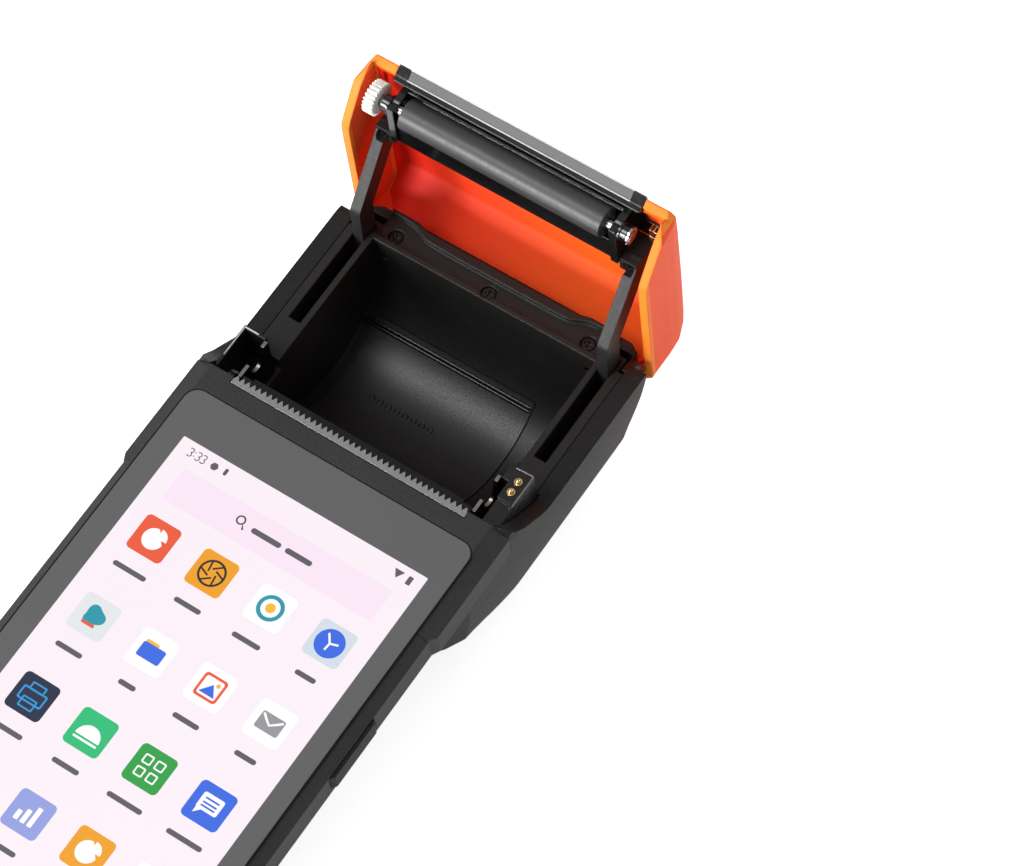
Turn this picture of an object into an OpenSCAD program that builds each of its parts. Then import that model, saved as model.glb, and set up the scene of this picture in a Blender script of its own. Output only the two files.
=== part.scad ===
// Handheld payment terminal: a flat body with a display, and a receipt printer
// at one end whose lid swings up on two arms and carries the platen roller.
// It is drawn in the terminal's own axes, x across, y towards the printer and
// z out of the glass, from the middle of the display's top edge. lie() then
// lays it down as it rests on a table, on the printer's belly and its far end.

/* [Body] */
// Width of the flat body over its sides
body_w = 77.6; // [76:0.2:82]
// Thickness of the flat body, from the glass to the back
body_t = 16.5; // [16:0.5:20]
// Reach of the flat body below the display's top edge
body_reach = 146; // [142:1:156]
// Wall of the plastic housings
wall = 1.8; // [1.5:0.1:2.1]
// Depth of the front frame, from the glass to the seam
frame_depth = 9; // [8.8:0.1:9.6]
// Radius of the two far corners, seen from the front
corner_r = 9; // [5:1:12]
// Chamfer along the front frame's sides
side_chamfer = 3.2; // [2.4:0.2:3.4]
// Depth of that chamfer below the glass
chamfer_drop = 2.3; // [2:0.1:2.6]
// Extra half width of the collar round the printer
collar = 1; // [0.6:0.1:1.2]
// Gap between pieces that lie beside each other
seam = 0.15; // [0.1:0.05:0.25]

/* [Display] */
// Width of the lit display
screen_w = 62; // [60:0.5:63]
// Length of the lit display
screen_h = 124; // [118:1:128]
// Thickness of the display panel
screen_t = 1.6; // [1.2:0.1:2]
// Glass beyond the display at each side
glass_side = 5.1; // [4.6:0.1:5.2]
// Glass beyond the display at the printer end
glass_head = 10.8; // [9:0.2:11.4]
// Glass beyond the display at the far end
glass_foot = 12; // [9:0.5:13]
// Thickness of the cover glass
glass_t = 1.1; // [0.8:0.1:1.4]
// Corner radius of the cover glass
glass_r = 3.2; // [2:0.2:4]

/* [Printer bay] */
// Width of the paper roll that the bay takes
roll_w = 57; // [56:0.5:57.5]
// Diameter of the paper roll that the bay takes
roll_d = 40; // [38:0.5:41]
// Side play of the roll in the bay, both sides together
roll_play = 0.6; // [0.4:0.1:1]
// Radial play of the roll in the bay
roll_room = 0.4; // [0.3:0.1:0.8]
// Deck between the display's top edge and the tear bar
deck_len = 17; // [16.6:0.1:17.6]
// Mouth between the deck and the bay's front wall
mouth = 7; // [6.6:0.1:7.4]
// Depth of the rim plane below the glass
rim_drop = 11.4; // [11:0.1:12]
// Depth of the roll's middle below the glass
roll_drop = 18.6; // [18.2:0.1:19]
// Wall of the paper tub
tub_wall = 1.4; // [1.2:0.1:1.6]
// Width of the rib between the bay and an arm slot
rib = 1.4; // [1.2:0.1:1.6]
// Width of an arm slot
slot_w = 3.1; // [3:0.1:3.3]
// Height of the lip behind the rear ledge
lip_h = 1.5; // [1:0.1:1.6]

/* [Printer mechanism] */
// Diameter of the platen roller's rubber
platen_d = 7; // [6.8:0.1:7.3]
// Length of the platen roller's rubber
platen_len = 50.2; // [48:0.2:51]
// Diameter of the platen's shaft
shaft_d = 2.5; // [2.2:0.1:2.8]
// Distance from the deck's edge to the closed platen's middle
platen_back = 6.6; // [6.5:0.05:6.7]
// Depth of the closed platen's middle below the glass
platen_drop = 4.9; // [4.7:0.1:5]
// Distance between the closed platen and the print head
nip = 0.3; // [0.3:0.05:0.4]
// Running clearance of a shaft or pin in its hole, on the radius
run = 0.05; // [0.02:0.01:0.08]
// Thickness of the metal side plates
plate_t = 0.8; // [0.6:0.1:0.9]
// Length of the serrated tear bar
tear_len = 59.6; // [56:0.2:60]
// Width of the tear bar behind its teeth
tear_w = 1; // [0.8:0.1:1.2]
// Pitch of the tear bar's teeth
tooth_pitch = 1.4; // [1.2:0.1:2]
// Height of the tear bar's teeth
tooth_h = 1.2; // [0.8:0.1:1.2]
// Diameter of the stepper motor
motor_d = 10.2; // [9.6:0.2:10.4]
// Length of the stepper motor
motor_len = 14; // [11:0.5:16]
// Outer diameter of a print head spring
spring_d = 3.6; // [3:0.1:4]
// Wire diameter of a print head spring
spring_wire = 0.5; // [0.4:0.05:0.6]
// Turns of a print head spring
spring_turns = 4; // [3:1:4]

/* [Gears] */
// Module of all the gears
gear_m = 0.3; // [0.29:0.005:0.305]
// Teeth of the platen's gear
platen_teeth = 24; // [23:1:24]
// Teeth of the drive gear
drive_teeth = 21; // [20:1:21]
// Teeth of the reduction gear's small wheel
small_teeth = 16; // [16:1:17]
// Teeth of the reduction gear's big wheel
big_teeth = 27; // [25:1:27]
// Teeth of the motor's pinion
pinion_teeth = 16; // [15:1:16]
// Play between meshing teeth, as a share of the tooth's width
tooth_play = 0.1; // [0.08:0.01:0.14]

/* [Hinge and lid] */
// Distance from the bay's rear wall to the hinge
hinge_back = 0.7; // [0.6:0.1:0.9]
// Depth of the hinge below the rim plane
hinge_drop = 6.1; // [6:0.1:6.3]
// Diameter of the hinge pins
pin_d = 2; // [1.8:0.1:2.2]
// Angle that the lid stands open
lid_open = 90; // [0:5:90]
// Wall of the lid shell
lid_wall = 2; // [1.8:0.1:2.2]
// Gap between the deck and the closed lid's front, where the paper leaves
paper_gap = 1.2; // [1:0.1:1.4]
// Rise of the closed lid's front edge above the glass
front_rise = 1.9; // [1.8:0.1:2.1]
// Rise of the closed lid's rear edge above the glass
lid_rise = 5.2; // [4.8:0.1:5.5]
// Thickness of a lid arm
arm_t = 2.6; // [2.2:0.1:2.7]
// Width of a lid arm
arm_w = 4.8; // [4.2:0.1:5]
// Length of the bar along the lid's edge
bar_len = 61.6; // [58:0.2:62]

/* [Keys and contacts] */
// Length of the scan key on the right side
scan_len = 15.6; // [12:0.2:18]
// Length of the volume key on the left side
volume_len = 18; // [14:0.5:20]
// Length of the power key on the left side
power_len = 9; // [7:0.5:10]
// Height of the side keys
key_h = 4.6; // [4:0.1:5]
// Distance that a side key stands out
key_proud = 0.8; // [0.5:0.1:0.9]
// Travel of a side key
key_travel = 0.35; // [0.3:0.05:0.4]
// Diameter of a contact plunger
plunger_d = 1.1; // [0.9:0.1:1.3]
// Pitch of the two contact plungers
plunger_pitch = 2.7; // [2.5:0.1:3]
// Height that a contact plunger stands proud
plunger_proud = 1.1; // [0.8:0.1:1.1]

/* [Hidden] */
$fn = 48;

// The terminal's main places, in its own axes
half_w = body_w / 2;
bay_half = (roll_w + roll_play) / 2;
bay_r = roll_d / 2 + roll_room;
bay_front = deck_len + mouth;
bay_y = bay_front + bay_r;
bay_back = bay_y + bay_r;
rim_z = -rim_drop;
ledge_z = rim_z - 0.6;
floor_z = -roll_drop - bay_r;
belly_r = bay_r + tub_wall + 2 * seam + wall;
hinge_y = bay_back + hinge_back;
hinge_z = rim_z - hinge_drop;
platen_y = deck_len + platen_back;
platen_z = -platen_drop;
head_y = platen_y - platen_d / 2 - nip;
rib_out = bay_half + rib;
slot_out = rib_out + slot_w;
slot_front = bay_y - 5.2;
slot_wall = 0.8;
tub_half = half_w - 3.4;
ledge_back = hinge_y + 6.6;
lip_r = norm([ledge_back - hinge_y, ledge_z + lip_h - hinge_z]);
lid_clear_r = lip_r + 0.35;
knuckle_r = hinge_drop + 0.15;
key_z = -5;
collar_y = -9;
lid_half = half_w - 0.2;
tower_out = lid_half - lid_wall - 0.35;
tower_wall = 0.7;
tower_foot = 7.8;
tower_back = bay_front + 5.2;
shelf_z = rim_z - 3.7;
head_top = -2.4;

// How it lies: the round belly and the far end touch the table
foot_h = 0.8;
far_foot_y = 4 - body_reach;
lie_tilt = atan((roll_drop - body_t) / (bay_y - far_foot_y))
    + asin(belly_r / norm([bay_y - far_foot_y, roll_drop - body_t]));
belly_y = bay_y - belly_r * sin(lie_tilt);
belly_z = -roll_drop - belly_r * cos(lie_tilt);
belly_drop = belly_y * sin(lie_tilt) + belly_z * cos(lie_tilt);

// Gear train, from the platen down to the motor
drive_at = gear_place([platen_y, platen_z], platen_teeth + drive_teeth, 216);
idler_at = gear_place(drive_at, drive_teeth + small_teeth, 236);
motor_at = gear_place(idler_at, big_teeth + pinion_teeth, 220);
plate_in = bay_half + 0.7;
plate_out = plate_in + plate_t;
gear_out = tower_out - tower_wall - 0.25;
wide_gear = [1.2 - gear_out, -(plate_out + 1.3)];
outer_gears = [1.2 - gear_out, 2.8 - gear_out];
inner_gears = [3 - gear_out, 4.4 - gear_out];
post_r = 0.6;
contact_x = 34;
contact_y = bay_front + 2.2;
contact_top = -1.3 - plunger_proud;
tower_top = -2.4;

// Places of the boards, the battery, the screws and the side keys
board_z = -5.2;
board_t = 1;
shelf_drop = glass_t + screen_t + 0.8;
camera_at = [20, -22];
screw_x = half_w - 6.4;
housing_screw_at = [for (x = [-screw_x, screw_x], y = [-14, 14 - body_reach]) [x, y]];
battery_y = [26 - body_reach, -38];
battery_half = 29;
plate_x = [-26, 16];
foot_z = -22.6;
head_pivot = [head_y - 1.4, shelf_z + 1.4];
// the side keys as [side, middle y, length]
side_keys = [[1, -38.4, scan_len], [-1, -84, volume_len], [-1, -64, power_len]];

// The curve that the lid's edge and the body's rim share, as [y, z] points
rim_curve = smooth([[deck_len, 0], [deck_len + 4, -4.8], [deck_len + 8.4, -8.1],
    [deck_len + 12.4, -rim_drop + 0.6], [deck_len + 14.4, -rim_drop + 0.1],
    [deck_len + 19, -rim_drop]], 4);
// The printer's belly from the flat back to the rear ledge, as [y, z] points
belly_curve = concat(smooth([[-8, -body_t], [3, belly_z * 0.51], [13, belly_z * 0.69],
    [23, belly_z * 0.86], [bay_y, -roll_drop] + belly_r * [cos(118), -sin(118)]], 3),
    [for (a = [-112:6:-46]) [bay_y, -roll_drop] + belly_r * [cos(a), sin(a)]],
    [for (a = [-45:9:27]) [hinge_y, hinge_z] + (lip_r - 0.6) * [cos(a), sin(a)]],
    [[ledge_back + 0.4, ledge_z - 0.8]]);
// The printer's flank from the seam down to the belly, as [x, z] points
flank_curve = smooth([[half_w + collar, -4], [half_w + collar, -frame_depth],
    [half_w + collar - 0.6, belly_z * 0.45], [half_w - 1.2, belly_z * 0.7],
    [half_w - 3, belly_z * 0.88], [half_w - 5.4, belly_z * 0.975],
    [half_w - 8.2, belly_z - 0.4]], 3);

// A point at the meshing distance from another, in the direction of an angle
function gear_place(from, teeth, angle) =
    from + gear_m * teeth / 2 * [cos(angle), sin(angle)];

// A smooth open curve through points, with some steps between two of them
function smooth(p, steps) = [for (i = [0:len(p) - 2]) for (k = [0:steps - 1])
        spline(p[max(i - 1, 0)], p[i], p[i + 1], p[min(i + 2, len(p) - 1)], k / steps),
    p[len(p) - 1]];
function spline(a, b, c, d, t) = (2 * b + (c - a) * t + (2 * a - 5 * b + 4 * c - d) * t * t
    + (3 * b - a - 3 * c + d) * t * t * t) / 2;

// The same points read backwards, mirrored or moved
function backwards(p) = [for (i = [len(p) - 1:-1:0]) p[i]];
function mirrored(p) = [for (q = p) [-q[0], q[1]]];
function moved(p, by) = [for (q = p) q + by];

// A curve moved sideways by a distance, to the left of its own direction
function beside(p, d) = [for (i = [0:len(p) - 1]) let (
        a = p[max(i - 1, 0)], b = p[min(i + 1, len(p) - 1)], t = (b - a) / norm(b - a))
    p[i] + d * [-t[1], t[0]]];

// Lays the terminal down on the table, with the belly's lowest line at the origin
module lie() {
    shift_y = belly_y * cos(lie_tilt) - belly_z * sin(lie_tilt);
    translate([0, -shift_y, -belly_drop]) rotate([lie_tilt, 0, 0]) children();
}

// Turns the lid's pieces from closed to open about the hinge
module swing() {
    lie() translate([0, hinge_y, hinge_z]) rotate([-lid_open, 0, 0])
        translate([0, -hinge_y, -hinge_z]) children();
}

// A [y, z] outline carried across, between two values of x
module across(x0, x1) {
    translate([x0, 0, 0]) rotate([90, 0, 90]) linear_extrude(x1 - x0) children();
}

// An [x, z] outline carried along, between two values of y
module along(y0, y1) {
    translate([0, y1, 0]) rotate([90, 0, 0]) linear_extrude(y1 - y0) children();
}

// A rod across, at a [y, z] place between two values of x
module rod(at, x0, x1, r) {
    translate([x0, at[0], at[1]]) rotate([0, 90, 0]) cylinder(h = x1 - x0, r = r);
}

// A block between two corners
module block(a, b) {
    translate(a) cube(b - a);
}

// Both sides of something drawn on the right
module both() {
    children();
    mirror([1, 0, 0]) children();
}

// A flat rectangle with round corners, centred
module rounded(w, l, r) {
    square([w - 2 * r, l], center = true);
    square([w, l - 2 * r], center = true);
    for (sx = [-1, 1], sy = [-1, 1])
        translate([sx * (w / 2 - r), sy * (l / 2 - r)]) circle(r);
}

// A flat bar with round ends between two points
module capsule(a, b, w) {
    d = b - a;
    translate(a) circle(w / 2);
    translate(b) circle(w / 2);
    translate(a) rotate(atan2(d[1], d[0])) translate([0, -w / 2]) square([norm(d), w]);
}

// The body seen from the front: square at the printer, round at the far end
module body_plan(inset, y_end) {
    half = half_w + 2 - inset;
    near = -body_reach + inset;
    r = corner_r - inset / 2;
    difference() {
        translate([-half, near]) square([2 * half, y_end - near]);
        for (s = [-1, 1]) translate([s * (half_w - inset), near]) mirror([s > 0 ? 0 : 1, 0])
            corner_cut(r);
    }
}

// What a round corner leaves over, at the origin and towards -x and +y
module corner_cut(r) {
    difference() {
        translate([-r, -1]) square([r + 4, r + 1]);
        translate([-r, r]) circle(r);
    }
}

// The flat body's cross section, full depth, as [x, z] points
module body_section(inset) {
    side = [[half_w - side_chamfer, 0], [half_w, -chamfer_drop], [half_w, -frame_depth],
        [half_w - 1.9, -body_t + 2.2], [half_w - 3.2, -body_t]];
    inner = beside(side, -inset);
    polygon(concat(inner, backwards(mirrored(inner))));
}

module front_frame() {
    glass_w = screen_w + 2 * glass_side;
    glass_l = screen_h + glass_head + glass_foot;
    glass_y = glass_head - glass_l / 2;
    color([0.11, 0.11, 0.12]) lie() difference() {
        union() {
            frame_shell();
            for (p = housing_screw_at) translate([p[0], p[1], wall - body_t + seam])
                cylinder(h = body_t - wall - seam - shelf_drop + 0.5, r = 2.2);
        }
        for (p = housing_screw_at) translate([p[0], p[1], -body_t]) cylinder(h = 6, r = 1);
        // window for the display
        block([-screen_w / 2 - 0.4, -screen_h - 0.4, -shelf_drop - 1],
            [screen_w / 2 + 0.4, 0.4, 0]);
        // recess for the glass
        translate([0, glass_y, -glass_t - seam]) linear_extrude(3)
            rounded(glass_w + 2 * seam, glass_l + 2 * seam, glass_r + seam);
        // seat of the tear bar in the deck's edge, and the mechanism's room below it
        block([-tear_len / 2 - seam, deck_len - 0.5 - tear_w - seam, -1],
            [tear_len / 2 + seam, deck_len + 1, 1]);
        block([-gear_out - 0.5, deck_len - 4.6, -frame_depth - 1],
            [gear_out + 0.5, deck_len + 1, -3.4]);
        block([-plate_in, deck_len - 0.7, -4], [plate_in, deck_len + 1, head_top + 0.4]);
        for (k = side_keys) key_opening(k);
        usb_opening();
    }
}

// The front frame as a bare shell, open towards the back
module frame_shell() {
    difference() {
        union() {
            intersection() {
                along(-body_reach - 1, deck_len) body_section(0);
                translate([0, 0, -frame_depth]) linear_extrude(frame_depth + 1)
                    body_plan(0, deck_len);
            }
            both() frame_collar();
        }
        intersection() {
            along(-body_reach, deck_len - wall) body_section(wall);
            translate([0, 0, -frame_depth - 1]) linear_extrude(frame_depth + 1 - shelf_drop)
                body_plan(wall, deck_len - wall);
        }
    }
}

// The collar's start on the front frame's flank, on the right
module frame_collar() {
    out = half_w + collar;
    intersection() {
        along(collar_y - 3, deck_len) polygon([[half_w - side_chamfer, 0], [out, -chamfer_drop],
            [out, -frame_depth], [half_w - side_chamfer, -frame_depth]]);
        translate([0, 0, -frame_depth]) linear_extrude(frame_depth + 1) polygon([
            [0, collar_y - 2], [half_w - 0.1, collar_y - 2], [out, collar_y], [out, deck_len],
            [0, deck_len]]);
    }
}

// Opening of a side key, with the room of its flange behind the wall
module key_opening(k) {
    reach = k[0] * (half_w - wall / 2);
    translate([reach, k[1], key_z])
        cube([wall + 4, k[2] + 2 * seam, key_h + 2 * seam], center = true);
    translate([k[0] * (half_w - wall - 1), k[1], key_z])
        cube([2, k[2] + 2, key_h + 1], center = true);
}

// A side key with its cap in the opening and its flange inside the wall
module side_key(k) {
    inner = half_w - wall;
    half = k[2] / 2;
    out = half_w + key_proud;
    flange = 0.6;
    color([0.09, 0.09, 0.1]) lie() mirror([k[0] > 0 ? 0 : 1, 0, 0]) {
        translate([0, k[1], key_z]) linear_extrude(key_h, center = true) polygon([
            [inner - 0.5, -half], [half_w, -half], [out, -half + 0.9], [out, half - 0.9],
            [half_w, half], [inner - 0.5, half]]);
        translate([inner - key_travel - seam - 0.5, k[1], key_z])
            cube([flange, k[2] + 1.6, key_h + 0.7], center = true);
        translate([inner - 0.9, k[1], key_z]) cube([1, k[2] - 1, key_h - 1], center = true);
    }
}

module usb_opening() {
    translate([0, -body_reach, -frame_depth]) rotate([90, 0, 0])
        linear_extrude(2 * wall + 8, center = true) rounded(9.6, 3.8, 1.8);
}

module cover_glass() {
    glass_w = screen_w + 2 * glass_side;
    glass_l = screen_h + glass_head + glass_foot;
    color([0.25, 0.25, 0.27]) lie() translate([0, glass_head - glass_l / 2, -glass_t])
        linear_extrude(glass_t) rounded(glass_w, glass_l, glass_r);
}

module display_panel() {
    color([0.95, 0.92, 0.94]) lie()
        block([-screen_w / 2, -screen_h, -glass_t - screen_t], [screen_w / 2, 0, -glass_t]);
}

module scan_key() { side_key(side_keys[0]); }
module volume_key() { side_key(side_keys[1]); }
module power_key() { side_key(side_keys[2]); }

// Press switches behind the keys, on strips along the inside of the frame
module key_switches() {
    depth = half_w - wall - key_travel - seam - 1.5;
    color([0.75, 0.75, 0.72]) lie() for (k = side_keys) mirror([k[0] > 0 ? 0 : 1, 0, 0]) {
        translate([depth - 1.3, k[1], key_z - 0.7]) cube([1.2, k[2] - 1, 3], center = true);
        translate([depth - 0.35, k[1], key_z - 0.4]) cube([0.7, 3.4, 2], center = true);
    }
}

// The belly in outline, between the rim and the belly curve, as [y, z] points
module belly_side() {
    polygon(concat([[-11, -body_t], [-11, -frame_depth], [deck_len, -frame_depth]], rim_curve,
        [[ledge_back + 0.4, rim_z]], backwards(belly_curve)));
}

// The body's and the lid's rear end seen from the front, with cut corners
module rear_plan(back, flat_half, cut) {
    half = [[flat_half, back], [half_w + collar + 1, back - cut], [half_w + collar + 1, 4],
        [half_w + collar - 0.1, 1.4], [half_w - 0.1, -2], [half_w - 1.2, -5.5], [half_w - 3.4, -9],
        [half_w - 3.4, -20]];
    polygon(concat(half, backwards(mirrored(half))));
}

// The same for the hollow inside, which ends short of the hinge at both corners
module cavity_plan() {
    inner = slot_out + slot_wall + 0.1;
    flat = half_w - wall - 2.4;
    half = [[flat, -20], [flat, 2.5], [half_w + 2, 8], [half_w + 2, hinge_y - 1.6], [inner, hinge_y - 1.6],
        [inner, ledge_back - 1.3], [rib_out - 0.6, ledge_back + 1.8]];
    polygon(concat(half, backwards(mirrored(half))));
}

// The printer's cross section with its round flanks, as [x, z] points
module flank_section(inset) {
    top = [[half_w - 1.4, 0], [half_w + collar - 0.3, -2]];
    side = beside(concat(top, flank_curve), -inset);
    polygon(concat(side, backwards(mirrored(side))));
}

module rear_housing() {
    seam_z = -frame_depth;
    cavity = concat([[-12, wall - body_t], [-12, seam_z + 2], [deck_len + 1, seam_z + 2]],
        moved(rim_curve, [1, -wall]), [[ledge_back - 1, rim_z - wall]],
        backwards(beside(belly_curve, wall)));
    post_room = concat([[0, seam_z + 2]], moved(rim_curve, [1, -wall]),
        [[ledge_back - 1, rim_z - wall]], backwards(beside(belly_curve, wall / 2)));
    color([0.1, 0.1, 0.11]) lie() difference() {
        union() {
            difference() {
                union() {
                    intersection() {
                        along(-body_reach - 1, 0) body_section(0);
                        translate([0, 0, -body_t - 1]) linear_extrude(body_t + 1 + seam_z)
                            body_plan(0, 0);
                    }
                    intersection() {
                        across(-half_w - 2, half_w + 2) belly_side();
                        along(-11, ledge_back + 2) flank_section(0);
                        translate([0, 0, -60]) linear_extrude(61)
                            rear_plan(ledge_back + 3.4, rib_out - 1, 7);
                    }
                }
                // hollow of the flat body, and the hollow of the printer's belly
                intersection() {
                    along(-body_reach, 1) body_section(wall);
                    translate([0, 0, wall - body_t]) linear_extrude(body_t) body_plan(wall, 1);
                }
                intersection() {
                    across(-half_w, half_w) polygon(cavity);
                    along(-12, ledge_back + 2) flank_section(wall);
                    translate([0, 0, -60]) linear_extrude(60) cavity_plan();
                }
                both() rod([hinge_y, hinge_z], slot_out, tub_half, 2.7);
            }
            intersection() {
                inner_posts();
                across(-half_w, half_w) polygon(post_room);
            }
            standoffs();
        }
        // the printer's open top, and the room under the lid for the ledge
        block([-tub_half - seam, deck_len + 0.6, rim_z - 6], [tub_half + seam, hinge_y + 0.6, 1]);
        block([-slot_out - 1.4, hinge_y, ledge_z - 1.5 - seam],
            [slot_out + 1.4, ledge_back + 2, 1]);
        block([-tub_half - seam, deck_len - 1, rim_z - 3.6], [tub_half + seam, deck_len + 2, 1]);
        block([-tower_out - seam, deck_len - 0.1, rim_z - 3.6],
            [tower_out + seam, tower_back + 3, 1]);
        // rear corners, set in and sloping forward
        both() across(half_w - 2.2, half_w + 3) polygon([[hinge_y + 4, 1], [hinge_y + 2.6, -13],
            [hinge_y + 1.2, hinge_z], [hinge_y - 3.5, -30], [hinge_y - 8, -37], [90, -37], [90, 1]]);
        // round knuckles there, which the lid's corners turn about
        both() difference() {
            block([slot_out + 1.3, hinge_y, hinge_z - 14], [half_w + 3, ledge_back + 4, 1]);
            rod([hinge_y, hinge_z], slot_out, half_w + 4, knuckle_r);
        }
        // recess and opening of the battery door
        battery_room(0);
        // camera window, loudspeaker grille, screw holes, charging port, flats of the feet
        translate([camera_at[0], camera_at[1], -body_t - 1]) cylinder(h = wall + 4, r = 5.2);
        for (i = [-4:4]) translate([-18 + i * 2.4, -body_reach + 16, -body_t - 1])
            cylinder(h = wall + 2, r = 0.7);
        for (p = housing_screw_at) translate([p[0], p[1], -body_t - 1]) {
            cylinder(h = 2.2, r = 2);
            cylinder(h = 5.4, r = 1.05);
        }
        for (x = [-25, 0, 25]) translate([x, ledge_screw_y(x), ledge_z - 9])
            cylinder(h = 12, r = 0.95);
        usb_opening();
        table_cut(foot_h);
    }
}

// All that lies lower than a height above the table
module table_cut(h) {
    shift_y = belly_y * cos(lie_tilt) - belly_z * sin(lie_tilt);
    rotate([-lie_tilt, 0, 0]) translate([-60, shift_y - 260, belly_drop - 20])
        cube([120, 400, 20 + h]);
}

// Posts inside the belly: under the ledge's screws and under the mechanism
module inner_posts() {
    for (x = [-25, 0, 25])
        block([x - 2.2, bay_back + tub_wall + 0.3, ledge_z - 8],
            [x + 2.2, ledge_back + 2, ledge_z - 1.5 - seam]);
    both() block([plate_out + 0.4, tower_back - 8, shelf_z - 1.4],
        [half_w + 1, tower_back, shelf_z - seam]);
    both() block([plate_in - 4, deck_len - 4, belly_z], [plate_out + 0.2, deck_len - 2.6, -22.8]);
}

// Posts that carry the boards, from the back wall up
module standoffs() {
    base = 1 - body_t;
    for (x = [-30, 30], y = [-26, -9.5]) translate([x, y, base])
        cylinder(h = board_z - board_t - seam - base, r = 1.8);
    for (x = [-24, 24]) translate([x, 7 - body_reach, base])
        cylinder(h = board_z - board_t - seam - base, r = 1.8);
}

// The ledge's middle screw stands a little nearer to the bay than the outer two
function ledge_screw_y(x) = bay_back + (x == 0 ? 2.1 : 3.1);

module battery_room(gap) {
    block([-battery_half - 1 + gap, battery_y[0] - 1 + gap, -body_t - 1],
        [battery_half + 1 - gap, battery_y[1] + 1 - gap, wall - body_t + 1]);
}

module battery_door() {
    color([0.1, 0.1, 0.11]) lie() difference() {
        intersection() {
            battery_room(seam);
            block([-half_w, -body_reach, -body_t], [half_w, 0, 1.4 - body_t]);
        }
        // finger notch at the edge
        translate([0, battery_y[1] + 1, -body_t - 1]) cylinder(h = 1.8, r = 6);
    }
}

module battery_pack() {
    color([0.28, 0.3, 0.34]) lie() difference() {
        block([-battery_half, battery_y[0], 1.5 - body_t], [battery_half, battery_y[1], -7.4]);
        // rounded edges along the cells
        both() translate([battery_half, 0, (1.5 - body_t - 7.4) / 2]) difference() {
            block([-2, battery_y[0] - 1, -6], [1, battery_y[1] + 1, 6]);
            translate([-3.8, battery_y[0] - 1, 0]) rotate([-90, 0, 0])
                cylinder(h = battery_y[1] - battery_y[0] + 2, r = 3.8);
        }
    }
}

module main_board() {
    color([0.1, 0.3, 0.2]) lie() {
        difference() {
            block([-33, -34, board_z - board_t], [33, 6, board_z]);
            both() translate([screw_x, -14, board_z - 2]) cylinder(h = 3, r = 2.7);
        }
        for (p = [[-14, -12, 15], [8, -14, 12], [-2, -28, 9]])
            block([p[0] - p[2] / 2, p[1] - p[2] / 2, board_z],
                [p[0] + p[2] / 2, p[1] + p[2] / 2, board_z + 1]);
    }
}

module usb_board() {
    color([0.1, 0.3, 0.2]) lie()
        block([-28, 3 - body_reach, board_z - board_t], [28, 22 - body_reach, board_z]);
}

// Shell of the charging port with its tongue, under the far board
module usb_port() {
    color([0.75, 0.75, 0.77]) lie() translate([0, 0, -frame_depth]) {
        difference() {
            translate([0, 7.4 - body_reach, 0]) rotate([90, 0, 0]) linear_extrude(7)
                rounded(9, 3.2, 1.55);
            translate([0, 6.6 - body_reach, 0]) rotate([90, 0, 0]) linear_extrude(7)
                rounded(8.4, 2.6, 1.25);
        }
        block([-3.4, 1.4 - body_reach, -0.35], [3.4, 6.7 - body_reach, 0.35]);
        block([-4, 5 - body_reach, 1.55], [4, 7.2 - body_reach, frame_depth + board_z - board_t - 0.02]);
    }
}

module loudspeaker() {
    color([0.15, 0.15, 0.16]) lie() difference() {
        block([-30, 9 - body_reach, wall - body_t + seam], [-6, 23 - body_reach, wall - body_t + 4]);
        translate([-18, 16 - body_reach, wall - body_t]) cylinder(h = 1, r = 5.5);
    }
}

module camera_module() {
    color([0.12, 0.12, 0.13]) lie() translate([camera_at[0], camera_at[1], 0]) {
        block([-4.5, -4.5, -12.6], [4.5, 4.5, board_z - board_t - seam]);
        translate([0, 0, -body_t + 1.3]) cylinder(h = body_t - 13.5, r = 3.6);
    }
}

module camera_window() {
    color([0.2, 0.22, 0.25]) lie() translate([camera_at[0], camera_at[1], 0.1 - body_t])
        cylinder(h = 1, r = 5.1);
}

module housing_screws() {
    color([0.3, 0.3, 0.31]) lie() for (p = housing_screw_at) translate([p[0], p[1], 0]) {
        translate([0, 0, 0.25 - body_t]) machine_screw(1.9, 0.95, 0.9, 3.4, false);
    }
}

// A screw with a flat head and a cross recess, its head at the origin, up or down
module machine_screw(head_r, shank_r, head_h, length, head_up) {
    rotate([head_up ? 180 : 0, 0, 0]) {
        difference() {
            union() {
                cylinder(h = head_h, r = head_r);
                cylinder(h = length, r = shank_r);
            }
            for (a = [0, 90]) rotate(a) translate([-head_r * 0.62, -0.2, -1])
                cube([head_r * 1.24, 0.4, 1.5]);
        }
    }
}

module ledge_screws() {
    color([0.12, 0.12, 0.13]) lie() for (x = [-25, 0, 25])
        translate([x, ledge_screw_y(x), ledge_z - 0.15]) machine_screw(1.5, 0.9, 0.7, 7, true);
}

// A long pad under the belly and two at the far end, flat on the table
module rubber_feet() {
    color([0.05, 0.05, 0.05]) lie() intersection() {
        union() {
            block([-24, belly_y - 4.5, belly_z - 4], [24, belly_y + 4.5, belly_z + 4]);
            both() block([14, 0.6 - body_reach, -body_t - 3], [28, 5 - body_reach, -body_t + 2]);
        }
        table_cut(foot_h);
        difference() {
            block([-50, -200, -60], [50, 100, 0]);
            table_cut(0);
        }
    }
}

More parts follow.
